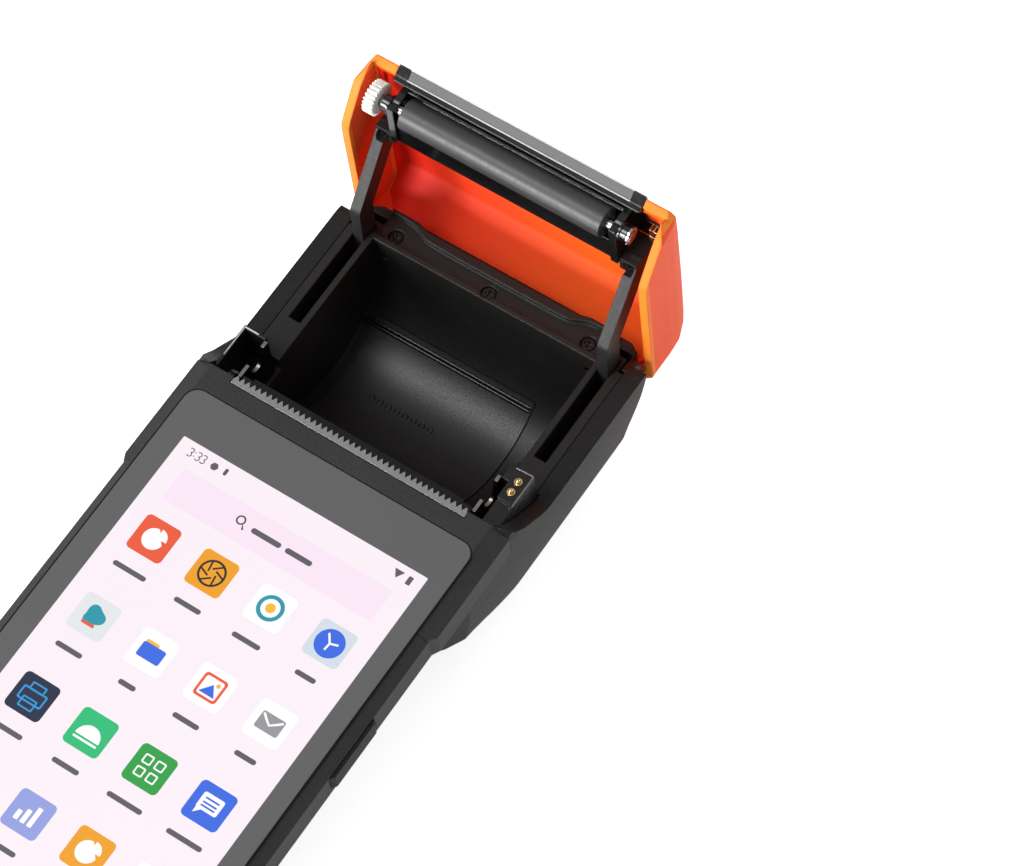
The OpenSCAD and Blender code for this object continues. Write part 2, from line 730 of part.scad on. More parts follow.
module paper_tub() {
    deck_front = tower_back + 0.2;
    slot_floor = hinge_z - arm_w / 2 - 0.9;
    slot_end = hinge_y + arm_w / 2 + 0.3;
    color([0.13, 0.13, 0.14]) lie() difference() {
        union() {
            difference() {
                union() {
                    block([-tub_half, deck_front, rim_z - 1.5], [tub_half, hinge_y - 0.2, rim_z]);
                    block([-slot_out - slot_wall, bay_back, ledge_z - 1.5],
                        [slot_out + slot_wall, ledge_back - 3, ledge_z]);
                    across(-rib_out, rib_out) intersection() {
                        union() {
                            translate([bay_y, -roll_drop]) circle(bay_r + tub_wall, $fn = 96);
                            translate([bay_front - tub_wall, -roll_drop])
                                square([2 * (bay_r + tub_wall), roll_drop]);
                        }
                        translate([0, -60]) square([90, 60 + rim_z]);
                    }
                    both() block([rib_out, slot_front - 1.2, slot_floor - 1],
                        [slot_out + slot_wall, slot_end + slot_wall, rim_z - 0.6]);
                    both() rod([hinge_y, hinge_z], bay_half - 1, rib_out, 3.1);
                    both() rod([hinge_y, hinge_z], slot_out, tub_half - 0.4, 2.4);
                    ledge_lip();
                }
                both() block([rib_out, slot_front, slot_floor], [slot_out, slot_end, 2]);
                across(-bay_half, bay_half) {
                    translate([bay_y, -roll_drop]) circle(bay_r, $fn = 96);
                    translate([bay_front, -roll_drop]) square([2 * bay_r, 40]);
                }
                // the front wall and the ribs stop below the mechanism
                block([-tub_half, 0, shelf_z - seam], [tub_half, deck_front, 5]);
            }
        }
        both() rod([hinge_y, hinge_z], bay_half - 3, tub_half + 1, pin_d / 2 + 0.02);
        for (x = [-25, 0, 25]) translate([x, ledge_screw_y(x), ledge_z - 8]) {
            cylinder(h = 10, r = 1);
            translate([0, 0, 7.1]) cylinder(h = 4, r = 1.8);
        }
        // window of the paper sensor and seat of the floor plate
        sensor_room(0.2);
        floor_sector(bay_r - 2, bay_r + 0.5, 0.15);
    }
}

// The lip along the rear edge of the ledge, bowed back round the outer screws
module ledge_lip() {
    back = ledge_back;
    inner = smooth([[0, back - 2.2], [15, back - 2.1], [19, back - 1.7], [22, back - 0.4],
        [25.5, back + 0.1], [29, back + 0.2]], 4);
    outer = [[0, back], [16, back], [19.5, back + 0.1], [22.5, back + 0.9], [29, back + 0.9]];
    half = concat(inner, backwards(outer));
    translate([0, 0, ledge_z - 1.5]) linear_extrude(lip_h * 0.8 + 1.5) polygon(half);
    mirror([1, 0, 0]) translate([0, 0, ledge_z - 1.5]) linear_extrude(lip_h * 0.8 + 1.5)
        polygon(half);
    block([-29, back - 3, ledge_z - 1.5], [29, back, ledge_z]);
}

// A sector of the bay's round floor between two radii, where the floor plate lies
module floor_sector(r0, r1, gap) {
    steps = 16;
    turn = [for (i = [0:steps]) -138 - gap + i * (92 + 2 * gap) / steps];
    arc = concat([for (a = turn) r1 * [cos(a), sin(a)]],
        [for (i = [steps:-1:0]) r0 * [cos(turn[i]), sin(turn[i])]]);
    across(plate_x[0] - gap, plate_x[1] + gap) translate([bay_y, -roll_drop]) polygon(arc);
}

// Thin plate that fills the recess in the bay's floor
module tub_plate() {
    color([0.2, 0.2, 0.21]) lie() floor_sector(bay_r - 0.2, bay_r + 0.4, 0);
}

module sensor_room(gap) {
    translate([22, bay_y, floor_z]) cube([5 + gap, 5 + gap, 2 * tub_wall + 1], center = true);
}

// Optical sensor that looks at the paper through the tub's floor
module paper_sensor() {
    color([0.05, 0.05, 0.06]) lie() difference() {
        translate([22, bay_y, floor_z - tub_wall / 2]) cube([5, 5, tub_wall], center = true);
        for (s = [-1, 1]) translate([22, bay_y + s * 1.2, floor_z - 0.5]) cylinder(h = 2, r = 0.9);
    }
}

module hinge_pins() {
    color([0.75, 0.75, 0.77]) lie() both()
        rod([hinge_y, hinge_z], bay_half + 0.2, tub_half - 0.5, pin_d / 2);
}

// Serrated strip in the deck's edge
module tear_bar() {
    count = floor(tear_len / tooth_pitch);
    step = tear_len / count;
    root = deck_len - 0.5;
    tip = root + tooth_h;
    teeth = [for (i = [0:count - 1]) each [[i * step, root], [(i + 0.5) * step, tip]]];
    color([0.72, 0.72, 0.72]) lie() translate([-tear_len / 2, 0, -0.85]) linear_extrude(0.8)
        polygon(concat([[0, root - tear_w]], teeth, [[tear_len, root], [tear_len, root - tear_w]]));
}

// Metal chassis: two side plates with notches for the platen, and a cross bar
module printer_frame() {
    bar_y = deck_len - 4.4;
    plate = [[bar_y, -3.7], [deck_len + 0.3, -3.7], [deck_len + 1.4, -2.2], [tower_back - 1, -2.2],
        [tower_back - 1, shelf_z + 0.3], [deck_len + 3, shelf_z + 0.3], [deck_len - 1, foot_z],
        [deck_len - 6.5, foot_z], [deck_len - 8, -14]];
    color([0.7, 0.71, 0.73]) lie() {
        block([-plate_in, bar_y, -8.6], [plate_in, bar_y + plate_t, -3.7]);
        across(plate_in, plate_out) plate_cut() polygon(plate);
        difference() {
            across(-plate_out, -plate_in) plate_cut() {
                polygon(plate);
                translate(motor_at) circle(motor_d / 2 + 0.3);
            }
            rod(motor_at, -plate_out - 1, -plate_in + 1, 1.2);
        }
    }
}

// Cuts the platen's notch and the head's pivot hole in a side plate
module plate_cut() {
    difference() {
        union() children();
        translate([platen_y, platen_z]) circle(2.05);
        polygon([[platen_y - 2.05, platen_z], [platen_y + 2.05, platen_z],
            [platen_y + 5, platen_z + 8], [platen_y - 2.05, platen_z + 8]]);
        translate(head_pivot) circle(0.8 + run);
    }
}

// Print head: a heat sink with a ceramic strip facing the platen, on two pivots
module print_head() {
    half = plate_in - 0.3;
    color([0.78, 0.79, 0.8]) lie() {
        block([-half, head_y - 2, shelf_z + 0.6], [half, head_y - 0.7, head_top]);
        block([-half + 2.4, head_y - 0.7, -9.4], [half - 2.4, head_y, -2.6]);
        both() rod(head_pivot, half - 1, plate_out + 0.3, 0.8);
    }
}

// Two coil springs that push the head towards the platen
module head_springs() {
    y0 = deck_len - 4.4 + plate_t + spring_wire / 2 + 0.05;
    y1 = head_y - 2 - spring_wire / 2 - 0.05;
    rings = 8 * spring_turns;
    r = (spring_d - spring_wire) / 2;
    pitch = (y1 - y0) / rings;
    points = [for (i = [0:rings]) let (a = 45 * i) for (k = [0:5]) let (b = 60 * k,
        q = r + spring_wire / 2 * cos(b))
        [q * cos(a), y0 + pitch * i + spring_wire / 2 * sin(b), q * sin(a)]];
    walls = [for (i = [0:rings - 1], k = [0:5]) let (a = 6 * i + k, b = 6 * i + (k + 1) % 6)
        each [[a, a + 6, b], [b, a + 6, b + 6]]];
    caps = [[for (k = [0:5]) k], [for (k = [5:-1:0]) 6 * rings + k]];
    color([0.8, 0.8, 0.82]) lie() for (x = [-15, 15]) translate([x, 0, -6.2])
        polyhedron(points, concat(walls, caps));
}

// Half the angle of a tooth at some radius, on involute flanks
function tooth_half(teeth, r) = let (base = gear_m * teeth * cos(20) / 2)
    90 / teeth * (1 - tooth_play) + involute(20) - involute(acos(min(1, base / r)));
function involute(a) = tan(a) * 180 / PI - a;

// Outline of a gear with a tooth at an angle
module gear_face(teeth, phase, bore) {
    root = gear_m * (teeth - 2.4) / 2;
    tip = gear_m * (teeth + 1.6) / 2;
    base = gear_m * teeth * cos(20) / 2;
    r = [root, max(base, root) + 0.01, gear_m * teeth / 2, (gear_m * teeth / 2 + tip) / 2, tip];
    difference() {
        polygon([for (i = [0:teeth - 1], side = [-1, 1], k = [0:4])
            let (q = r[side < 0 ? k : 4 - k],
                a = phase + 360 * i / teeth + side * tooth_half(teeth, q)) q * [cos(a), sin(a)]]);
        circle(bore);
    }
}

// Phase of a gear that meshes with another, seen along the line between them
function meshed(line, phase, from, to) =
    line + 180 - (0.5 - (line - phase) * from / 360) * 360 / to;
function line_angle(a, b) = atan2(b[1] - a[1], b[0] - a[0]);
drive_phase = meshed(line_angle([platen_y, platen_z], drive_at), 0, platen_teeth, drive_teeth);
small_phase = meshed(line_angle(drive_at, idler_at), drive_phase, drive_teeth, small_teeth);
pinion_phase = meshed(line_angle(idler_at, motor_at), 0, big_teeth, pinion_teeth);

module gear_on(at, span, teeth, phase, bore) {
    translate([span[0], at[0], at[1]]) rotate([90, 0, 90]) linear_extrude(span[1] - span[0])
        gear_face(teeth, phase, bore);
}

module drive_gear() {
    color([0.92, 0.92, 0.9]) lie() gear_on(drive_at, outer_gears, drive_teeth, drive_phase, post_r + run);
}

module reduction_gear() {
    color([0.92, 0.92, 0.9]) lie() {
        gear_on(idler_at, [outer_gears[0], inner_gears[0]], small_teeth, small_phase, post_r + run);
        gear_on(idler_at, inner_gears, big_teeth, 0, post_r + run);
    }
}

module motor_pinion() {
    color([0.8, 0.7, 0.4]) lie() {
        gear_on(motor_at, inner_gears, pinion_teeth, pinion_phase, 0.3);
        rod(motor_at, inner_gears[0], -plate_in + motor_len - 3, 0.5);
    }
}

module stepper_motor() {
    color([0.6, 0.6, 0.62]) lie() difference() {
        union() {
            rod(motor_at, -plate_in + 0.05, -plate_in + motor_len, motor_d / 2);
            rod(motor_at, -plate_out - 0.3, -plate_in + 1, 1.15);
        }
        rod(motor_at, -plate_out - 1, -plate_in + motor_len - 2, 0.5 + run);
    }
}

module gear_posts() {
    color([0.75, 0.75, 0.77]) lie() for (at = [drive_at, idler_at])
        rod(at, -gear_out - 0.15, -plate_out, post_r);
}

// Pocket at the left that the platen's gear drops into
module gear_tower() {
    inner = -plate_out - seam;
    color([0.1, 0.1, 0.11]) lie() {
        block([-tower_out, deck_len + 1.2, shelf_z],
            [-tower_out + tower_wall, tower_back, tower_top]);
        block([-tower_out, tower_back - tower_wall, shelf_z], [inner, tower_back, tower_top]);
        block([-tower_out, tower_back - tower_foot, shelf_z], [inner, tower_back, shelf_z + 1]);
    }
}

// Block at the right with the two sprung contacts
module contact_block() {
    inner = plate_out + seam;
    back = tower_back + 2.4;
    color([0.12, 0.12, 0.13]) lie() difference() {
        union() {
            block([inner, tower_back - tower_foot, shelf_z], [tower_out, tower_back, contact_top]);
            block([inner, deck_len + 1.2, rim_z + seam], [tower_out, back, contact_top]);
            block([tower_out - 0.9, tower_back - 6.4, contact_top - 1],
                [tower_out, back, contact_top + 0.4]);
        }
        // room for the end of the platen's shaft, which comes down here
        block([inner - 1, deck_len, platen_z - 2.8], [plate_out + 1.8, platen_y + 4.5, 2]);
        block([inner - 1, deck_len, contact_top - 0.9],
            [tower_out - 0.9, contact_y - 2.4, contact_top + 2]);
        for (s = [0, 1]) translate([contact_x, contact_y + s * plunger_pitch, contact_top - 7])
            cylinder(h = 9, r = plunger_d / 2 + 0.38);
    }
}

module contact_sleeves() {
    color([0.85, 0.65, 0.3]) lie() for (s = [0, 1])
        translate([contact_x, contact_y + s * plunger_pitch, contact_top - 6.9]) difference() {
            cylinder(h = 7.1, r = plunger_d / 2 + 0.36);
            translate([0, 0, 0.4]) cylinder(h = 9, r = plunger_d / 2 + run);
        }
}

module plunger(s) {
    color([0.9, 0.72, 0.35]) lie()
        translate([contact_x, contact_y + s * plunger_pitch, contact_top - 4]) {
            cylinder(h = 4 + plunger_proud - plunger_d / 2, r = plunger_d / 2);
            translate([0, 0, 4 + plunger_proud - plunger_d / 2]) sphere(plunger_d / 2);
        }
}

module front_plunger() { plunger(0); }
module rear_plunger() { plunger(1); }

// The lid, drawn closed and swung open

lid_front = deck_len + paper_gap;
lid_back = ledge_back + 4.1;
lid_tab = [bay_front + 8.4, bay_front + 12.4];
ceiling = front_rise - 0.9;
// the top from the front edge to the rear one, and down the back, as [y, z] points
lid_curve = [[lid_front + 1.6, -0.3], [lid_front + 0.2, front_rise - 0.4],
    [lid_front + 0.7, front_rise], [lid_front + 2, front_rise + 0.2], [bay_y - 10, lid_rise - 2],
    [bay_y + 6, lid_rise - 0.8], [hinge_y - 4.5, lid_rise], [hinge_y - 2.6, lid_rise - 0.4],
    [hinge_y - 0.6, lid_rise - 2], [lid_back - 1.7, -8], [lid_back, ledge_z - 0.8]];
// the side and half the top seen from the front, as [x, z] points
lid_side = [[lid_half, -22], [lid_half, -4], [lid_half - 0.4, 0], [lid_half - 1.1, 2.6],
    [lid_half - 2, lid_rise - 1], [lid_half - 4, lid_rise - 0.3], [lid_half - 20, lid_rise + 0.4]];

module lid_section(inset) {
    side = beside(lid_side, inset);
    polygon(concat(side, backwards(mirrored(side))));
}

// The lid from the front, with cut corners at both ends
module lid_plan(inset) {
    w = lid_half + 1 - inset;
    polygon([[-w, lid_front + 4.6], [-lid_half + 2.6 + inset / 2, lid_front + inset - 0.2],
        [lid_half - 2.6 - inset / 2, lid_front + inset - 0.2], [w, lid_front + 4.6],
        [w, lid_back - 9.5 - inset / 2], [rib_out - inset / 2, lid_back + 0.2 - inset],
        [-rib_out + inset / 2, lid_back + 0.2 - inset], [-w, lid_back - 9.5 - inset / 2]]);
}

module lid_shell() {
    edge = concat([[hinge_y, rim_z + 0.1]], backwards(moved(rim_curve, [0.45, 0.1])));
    outer = concat(lid_curve, [[lid_back - 3, ledge_z - 0.8], [ledge_back + 0.5, rim_z - 0.4]], edge);
    top = [for (i = [3:len(lid_curve) - 1]) lid_curve[i]];
    inner = concat([[lid_front + lid_wall + 0.6, -30]], beside(top, -lid_wall),
        [[lid_back - lid_wall, -30]]);
    color([0.95, 0.3, 0.12]) swing() difference() {
        intersection() {
            across(-half_w - 2, half_w + 2) polygon(outer);
            along(0, 90) lid_section(0);
            translate([0, 0, -30]) linear_extrude(50) lid_plan(0);
        }
        intersection() {
            across(-half_w, half_w) polygon(inner);
            along(0, 90) lid_section(lid_wall);
            translate([0, 0, -35]) linear_extrude(50) lid_plan(lid_wall);
        }
        // room for the towers, the lip bar, the carrier and its screws, and the hinge's round
        block([-tower_out - 0.3, deck_len - 1, -20],
            [tower_out + 0.3, lid_front + 5, 0.05]);
        block([-bar_len / 2 - seam, lid_front - 1, -2], [bar_len / 2 + seam, lid_front + 3.5, 9]);
        block([-contact_x - 0.7, lid_front + 3.4, -1],
            [contact_x + 0.7, lid_tab[1] + 0.2, ceiling + seam]);
        rod([hinge_y, hinge_z], -slot_out - 1.4, slot_out + 1.4, lid_clear_r);
        both() rod([hinge_y, hinge_z], slot_out + 1.2, half_w + 5, knuckle_r + 0.2);
        both() translate([rib_out + 0.9, lid_tab[0] + 2, -1]) cylinder(h = ceiling + 2.2, r = 0.85);
    }
}

// Black carrier of the roller: a trough between two end plates
module lid_frame() {
    y0 = lid_front + 3.45;
    y1 = lid_tab[0] + 1.6;
    end = bay_half - 1.8;
    color([0.08, 0.08, 0.09]) swing() difference() {
        union() {
            block([-end, y0, -6.5], [end, y1, ceiling]);
            both() block([end, y0, -7.2], [end + 1.7, y1, ceiling]);
            block([end + 1, bay_front - 2, 0.4], [contact_x - 2.6, bay_front + 6.4, ceiling]);
            block([end + 1, contact_y - 1.2, 0.4], [contact_x + 0.4, bay_front + 6.4, ceiling]);
        }
        rod([platen_y, platen_z], -end, end, platen_d / 2 + 0.45);
        block([-end, platen_y - 4, platen_z - 4], [end, platen_y + 3, platen_z - 2]);
        block([-end + 1, platen_y + 6, -5.4], [end - 1, y1 - 1.2, ceiling - 1.2]);
        rod([platen_y, platen_z], -half_w, half_w, shaft_d / 2 + 0.67);
        both() block([end - 1, 0, -9], [end + 3, platen_y - 2.6, platen_z + 2]);
    }
}

// An arm from the hinge pin up to the roller's carrier
module lid_arm() {
    x0 = rib_out + (slot_w - arm_t) / 2;
    knee = [hinge_y - 15.1, hinge_z + 0.6];
    top = [lid_tab[0] + 2.3, ceiling - 5.4];
    color([0.08, 0.08, 0.09]) swing() difference() {
        union() {
            across(x0, x0 + arm_t) {
                capsule([hinge_y, hinge_z], knee, arm_w);
                capsule(knee, top, arm_w);
            }
            block([bay_half - 0.05, lid_tab[0], -6.6], [x0 + arm_t, lid_tab[1], ceiling]);
        }
        rod([hinge_y, hinge_z], x0 - 1, x0 + arm_t + 1, pin_d / 2 + run);
        translate([rib_out + 0.9, lid_tab[0] + 2, -8]) cylinder(h = 20, r = 0.82);
        translate([rib_out + 0.9, lid_tab[0] + 2, -8]) cylinder(h = 2.1, r = 1.5);
    }
}

module right_arm() { lid_arm(); }
module left_arm() { mirror([1, 0, 0]) lid_arm(); }

module arm_screws() {
    color([0.6, 0.6, 0.62]) swing() both() translate([rib_out + 0.9, lid_tab[0] + 2, -6.55])
        machine_screw(1.35, 0.78, 0.6, ceiling + 7.5, false);
}

// The sloping face of the bar along the lid's front edge, as two [y, z] points
bar_face = [[lid_front - 0.3, front_rise], [lid_front + 1.3, -0.1]];

// A strip of that face between two shares of its width, down to a depth
module face_strip(from, to, depth, half) {
    d = bar_face[1] - bar_face[0];
    n = [-d[1], d[0]] / norm(d) * depth;
    across(-half, half) polygon([bar_face[0] + from * d, bar_face[0] + from * d + n,
        bar_face[0] + to * d + n, bar_face[0] + to * d]);
}

// Black bar along the lid's front edge, with a grey strip let into its sloping face
module lip_bar() {
    y = lid_front;
    color([0.07, 0.07, 0.08]) swing() difference() {
        across(-bar_len / 2, bar_len / 2) polygon([bar_face[0], bar_face[1], [y + 1.6, -1.4],
            [y + 3.1, -0.3], [y + 3.35, 0.2], [y + 3.35, front_rise + 0.3],
            [y + 0.3, front_rise + 0.2]]);
        translate([0, -0.4, -0.3]) face_strip(0.12, 0.96, 0.9, bar_len / 2 - 2.9);
    }
}

module lip_strip() {
    color([0.6, 0.6, 0.6]) swing() translate([0, 0.04, 0.03])
        face_strip(0.15, 0.93, 0.34, bar_len / 2 - 3);
}

module shaft_bushes() {
    color([0.1, 0.1, 0.1]) swing() both() difference() {
        union() {
            rod([platen_y, platen_z], bay_half - 1.8, plate_out + 0.4, shaft_d / 2 + 0.65);
            rod([platen_y, platen_z], bay_half - 0.05, plate_in - 0.3, shaft_d / 2 + 1.1);
        }
        rod([platen_y, platen_z], 0, half_w, shaft_d / 2 + run);
    }
}

// Copper strips that meet the plungers when the lid is shut
module lid_contact() {
    z = contact_top + plunger_proud + nip;
    color([0.8, 0.45, 0.25]) swing() for (s = [0, 1])
        translate([contact_x, contact_y + s * plunger_pitch, 0]) {
            block([-1.2, -0.9, z], [1.2, 0.9, z + 0.25]);
            block([-1.2, -0.9, z], [-0.95, 0.9, 0.4]);
        }
}

module platen_rubber() {
    color([0.16, 0.16, 0.17]) swing() difference() {
        rod([platen_y, platen_z], -platen_len / 2, platen_len / 2, platen_d / 2);
        rod([platen_y, platen_z], -platen_len, platen_len, shaft_d / 2 + 0.02);
    }
}

module platen_shaft() {
    color([0.75, 0.75, 0.77]) swing()
        rod([platen_y, platen_z], wide_gear[0] - 0.3, plate_out + 1.3, shaft_d / 2);
}

module platen_gear() {
    color([0.95, 0.95, 0.94]) swing()
        gear_on([platen_y, platen_z], wide_gear, platen_teeth, 0, shaft_d / 2 + 0.02);
}

// Retaining ring at the shaft's right end
module gear_clip() {
    color([0.2, 0.2, 0.2]) swing() difference() {
        rod([platen_y, platen_z], plate_out + 0.55, plate_out + 1.05, shaft_d / 2 + 0.8);
        rod([platen_y, platen_z], 0, half_w, shaft_d / 2 + 0.02);
        block([plate_out, platen_y - 0.5, platen_z - 3], [half_w, platen_y + 0.5, platen_z - 0.6]);
    }
}

front_frame();
rear_housing();
cover_glass();
display_panel();
main_board();
usb_board();
usb_port();
battery_pack();
battery_door();
loudspeaker();
camera_module();
camera_window();
paper_tub();
tub_plate();
paper_sensor();
ledge_screws();
housing_screws();
rubber_feet();
tear_bar();
printer_frame();
print_head();
head_springs();
stepper_motor();
motor_pinion();
reduction_gear();
drive_gear();
gear_posts();
gear_tower();
contact_block();
contact_sleeves();
front_plunger();
rear_plunger();
hinge_pins();
scan_key();
volume_key();
power_key();
key_switches();
lid_shell();
lid_frame();
left_arm();
right_arm();
arm_screws();
lip_bar();
lip_strip();
shaft_bushes();
lid_contact();
platen_rubber();
platen_shaft();
platen_gear();
gear_clip();
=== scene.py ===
import math

import bpy
import numpy as np
from mathutils import Matrix, Vector


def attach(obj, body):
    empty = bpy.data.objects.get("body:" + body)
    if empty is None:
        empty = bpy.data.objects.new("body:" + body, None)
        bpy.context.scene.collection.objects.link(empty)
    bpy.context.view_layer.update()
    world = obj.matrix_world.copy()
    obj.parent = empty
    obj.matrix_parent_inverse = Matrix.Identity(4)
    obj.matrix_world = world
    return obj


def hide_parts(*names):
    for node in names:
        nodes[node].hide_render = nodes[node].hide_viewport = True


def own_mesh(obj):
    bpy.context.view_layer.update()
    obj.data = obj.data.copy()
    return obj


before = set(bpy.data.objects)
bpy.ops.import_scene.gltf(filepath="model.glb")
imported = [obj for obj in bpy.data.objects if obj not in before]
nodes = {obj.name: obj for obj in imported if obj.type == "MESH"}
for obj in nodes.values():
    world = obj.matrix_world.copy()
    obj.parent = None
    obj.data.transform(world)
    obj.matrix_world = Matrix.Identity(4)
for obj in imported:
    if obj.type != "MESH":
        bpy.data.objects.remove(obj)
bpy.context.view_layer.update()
print("stage: frame loaded,", len(nodes), "nodes")

# the terminal's own axes lie tilted on the floor: y runs along the display, z out of its glass;
# the tilt in radians, the rest in mm
lie = {"tilt": math.radians(8.011683), "back": 46.559017, "up": 36.130207}
hinge = {"y": 65.5, "z": -17.5}


def toRow(p):
    # points of the terminal's own axes, in mm, turned by the tilt and set down on the floor, in metres
    p = np.asarray(p, float)
    c, s = math.cos(lie["tilt"]), math.sin(lie["tilt"])
    y = c * p[..., 1] - s * p[..., 2] - lie["back"]
    z = s * p[..., 1] + c * p[..., 2] + lie["up"]
    return np.stack([p[..., 0], y, z], -1) / 1000


def lidToRow(p):
    # points of the closed lid, a quarter turn back about the hinge, then as toRow
    p = np.asarray(p, float)
    dy, dz = p[..., 1] - hinge["y"], p[..., 2] - hinge["z"]
    return toRow(np.stack([p[..., 0], hinge["y"] + dz, hinge["z"] - dy], -1))


# camera, worked out from the photograph's edges: the focal length in pixels of the picture's width,
# the place and the three directions in the terminal's own axes
view = {
    "focal": 4023.106, "pixels": 1024, "sensor": 36, "near": 0.02, "far": 20,
    "place": (283.683, -253.597, 739.545),
    "right": (0.8276678, 0.5570614, -0.0681799),
    "down": (0.4697378, -0.7541019, -0.4589953),
    "ahead": (-0.3071032, 0.3478690, -0.8858187),
}


def makeCamera():
    data = bpy.data.cameras.new("photoCamera")
    data.lens, data.sensor_width = view["focal"] / view["pixels"] * view["sensor"], view["sensor"]
    data.clip_start, data.clip_end = view["near"], view["far"]
    cam = bpy.data.objects.new("photoCamera", data)
    bpy.context.scene.collection.objects.link(cam)
    turn = Matrix.Rotation(lie["tilt"], 3, "X")
    axes = [turn @ Vector(view["right"]), turn @ -Vector(view["down"]), turn @ -Vector(view["ahead"])]
    m = Matrix(axes).transposed().to_4x4()
    m.translation = Vector(toRow(view["place"]))
    cam.matrix_world = m
    bpy.context.scene.camera = cam


makeCamera()


# materials: small helpers for node trees on Object coordinates
class Finish:
    def __init__(self, name):
        self.mat = bpy.data.materials.new(name)
        self.mat.use_nodes = True
        self.tree = self.mat.node_tree
        self.shader = self.tree.nodes["Principled BSDF"]
        self.coords = self.tree.nodes.new("ShaderNodeTexCoord")

    def feed(self, socket, value):
        # a socket takes another node's output, or else a plain value
        if isinstance(value, bpy.types.NodeSocket):
            self.tree.links.new(value, socket)
        else:
            socket.default_value = value

    def put(self, name, value):
        self.feed(self.shader.inputs[name], value)

    def add(self, kind, inputs, **settings):
        node = self.tree.nodes.new(kind)
        for key, value in settings.items():
            setattr(node, key, value)
        for key, value in inputs.items():
            self.feed(node.inputs[key], value)
        return node

    def mapped(self, scale=(1, 1, 1), turn=(0, 0, 0)):
        feeds = {"Scale": scale, "Rotation": turn, "Vector": self.coords.outputs["Object"]}
        return self.add("ShaderNodeMapping", feeds).outputs["Vector"]

    def noise(self, scale, detail, rough=0.55, where=None):
        feeds = {"Scale": scale, "Detail": detail, "Roughness": rough,
                 "Vector": where or self.coords.outputs["Object"]}
        return self.add("ShaderNodeTexNoise", feeds).outputs["Fac"]

    def ramp(self, value, stops):
        # a plain number in place of a stop's colour stands for a grey
        r = self.add("ShaderNodeValToRGB", {"Fac": value})
        while len(r.color_ramp.elements) < len(stops):
            r.color_ramp.elements.new(0.5)
        for e, (at, colour) in zip(r.color_ramp.elements, stops):
            e.position = at
            e.color = (*colour, 1) if hasattr(colour, "__len__") else (colour, colour, colour, 1)
        return r.outputs["Color"]

    def split(self, vector):
        return self.add("ShaderNodeSeparateXYZ", {"Vector": vector}).outputs

    def calc(self, operation, *values):
        return self.add("ShaderNodeMath", dict(enumerate(values)), operation=operation).outputs[0]

    def blend(self, share, a, b, kind="MIX"):
        # colour a where the share is 0, and b where it is 1
        feeds = {"Factor": share, "A": a, "B": b}
        return self.add("ShaderNodeMix", feeds, data_type="RGBA", blend_type=kind).outputs["Result"]

    def bump(self, value, depth, strength, over):
        # heights, up to a depth in metres, laid over other normals if there are any
        feeds = {"Distance": depth, "Strength": strength, "Height": value}
        if over is not None:
            feeds["Normal"] = over
        return self.add("ShaderNodeBump", feeds).outputs["Normal"]

    def rounded(self, radius):
        return self.add("ShaderNodeBevel", {"Radius": radius}, samples=4).outputs["Normal"]


def srgb(r, g, b):
    # a screen colour of 0 to 255 as the linear values that a shader takes
    c = np.array([r, g, b]) / 255
    return tuple(np.where(c <= 0.04045, c / 12.92, ((c + 0.055) / 1.055) ** 2.4))


def shaded(colour, share):
    return tuple(min(1, c * share) for c in colour)


def mouldedPlastic(name, colour, rough, grain, depth=0.0, edge=0.0003, shade=0.12, coat=0.0, spec=0.5,
                   speck=0.2, swing=0.07, coatRough=0.08):
    # moulded plastic: a slow change of tone, a fine grain in height, tone and gloss, and rounded edges;
    # it has a depth of grain or an edge radius, in metres, or both
    f = Finish(name)
    slow = f.noise(scale=38, detail=4)
    fine = f.noise(grain, detail=2, rough=0.5)
    tone = f.ramp(slow, [(0.3, shaded(colour, 1 - shade)), (0.7, shaded(colour, 1 + shade))])
    f.put("Base Color", f.blend(1, tone, f.ramp(fine, [(0.3, 1 - speck), (0.7, 1.0)]), "MULTIPLY"))
    f.put("Roughness", f.ramp(fine, [(0.25, max(0, rough - swing)), (0.75, min(1, rough + swing))]))
    normal = f.rounded(edge) if edge else None
    f.put("Normal", f.bump(fine, depth, strength=1, over=normal) if depth else normal)
    f.put("Specular IOR Level", spec)
    if coat:
        f.put("Coat Weight", coat)
        f.put("Coat Roughness", coatRough)
    return f.mat


def drawnMetal(name, colour, rough, along, streak=900, depth=0.000004, edge=0.00012, flat=None):
    # metal with fine drawn lines: noise stretched along one axis, in height, gloss and tone;
    # with a second colour, painted light: faces that do not look up take that dark colour as painted shade,
    # and the upward faces, the top edges of a stamped sheet, keep the lighter tone as a painted highlight
    f = Finish(name)
    lines = f.noise(streak, detail=3, rough=0.6, where=f.mapped(along))
    tone = f.ramp(lines, [(0.3, shaded(colour, 0.82)), (0.7, colour)])
    # painted light: faces that do not look up get the dark colour as painted shade, the upward ones stay
    # lit
    if flat is not None:
        top = f.ramp(f.split(f.coords.outputs["Normal"])["Z"], [(0.8, 0.0), (0.9, 1.0)])
        tone = f.blend(top, (*flat, 1), tone)
    f.put("Base Color", tone)
    f.put("Roughness", f.ramp(lines, [(0.3, rough * 0.75), (0.7, rough * 1.3)]))
    f.put("Metallic", 1)
    f.put("Normal", f.bump(lines, depth, strength=0.5, over=f.rounded(edge)))
    return f.mat


# the orange lid: its rim's height while closed, the depth of the band of painted highlight behind it,
# where the side walls and the front wall begin, and where the inside's painted shade starts and stops to
# shift, all in mm; a face looks inward where its normal's y is below "inward"
shell = {
    "z": -11.4, "band": 1.2, "inner": 36.0, "front": 20.3, "shadeSpan": (-38, 30), "inward": -0.2,
    # painted shade: a deep red at the left of the inside, turning orange towards the right
    "inside": [(0.0, srgb(244, 38, 30)), (0.4, srgb(255, 80, 40)), (0.8, srgb(255, 104, 34))],
    "outside": [(0.3, srgb(246, 84, 42)), (0.7, srgb(255, 98, 52))],
    # painted highlight: the paler orange of the rim, the edges of the walls and the front wall
    "rim": [(0.3, srgb(246, 128, 42)), (0.7, srgb(254, 140, 48))],
    "rough": (0.42, 0.54), "grain": 1400, "depth": 0.000006, "edge": 0.0008, "spec": 0.15,
}


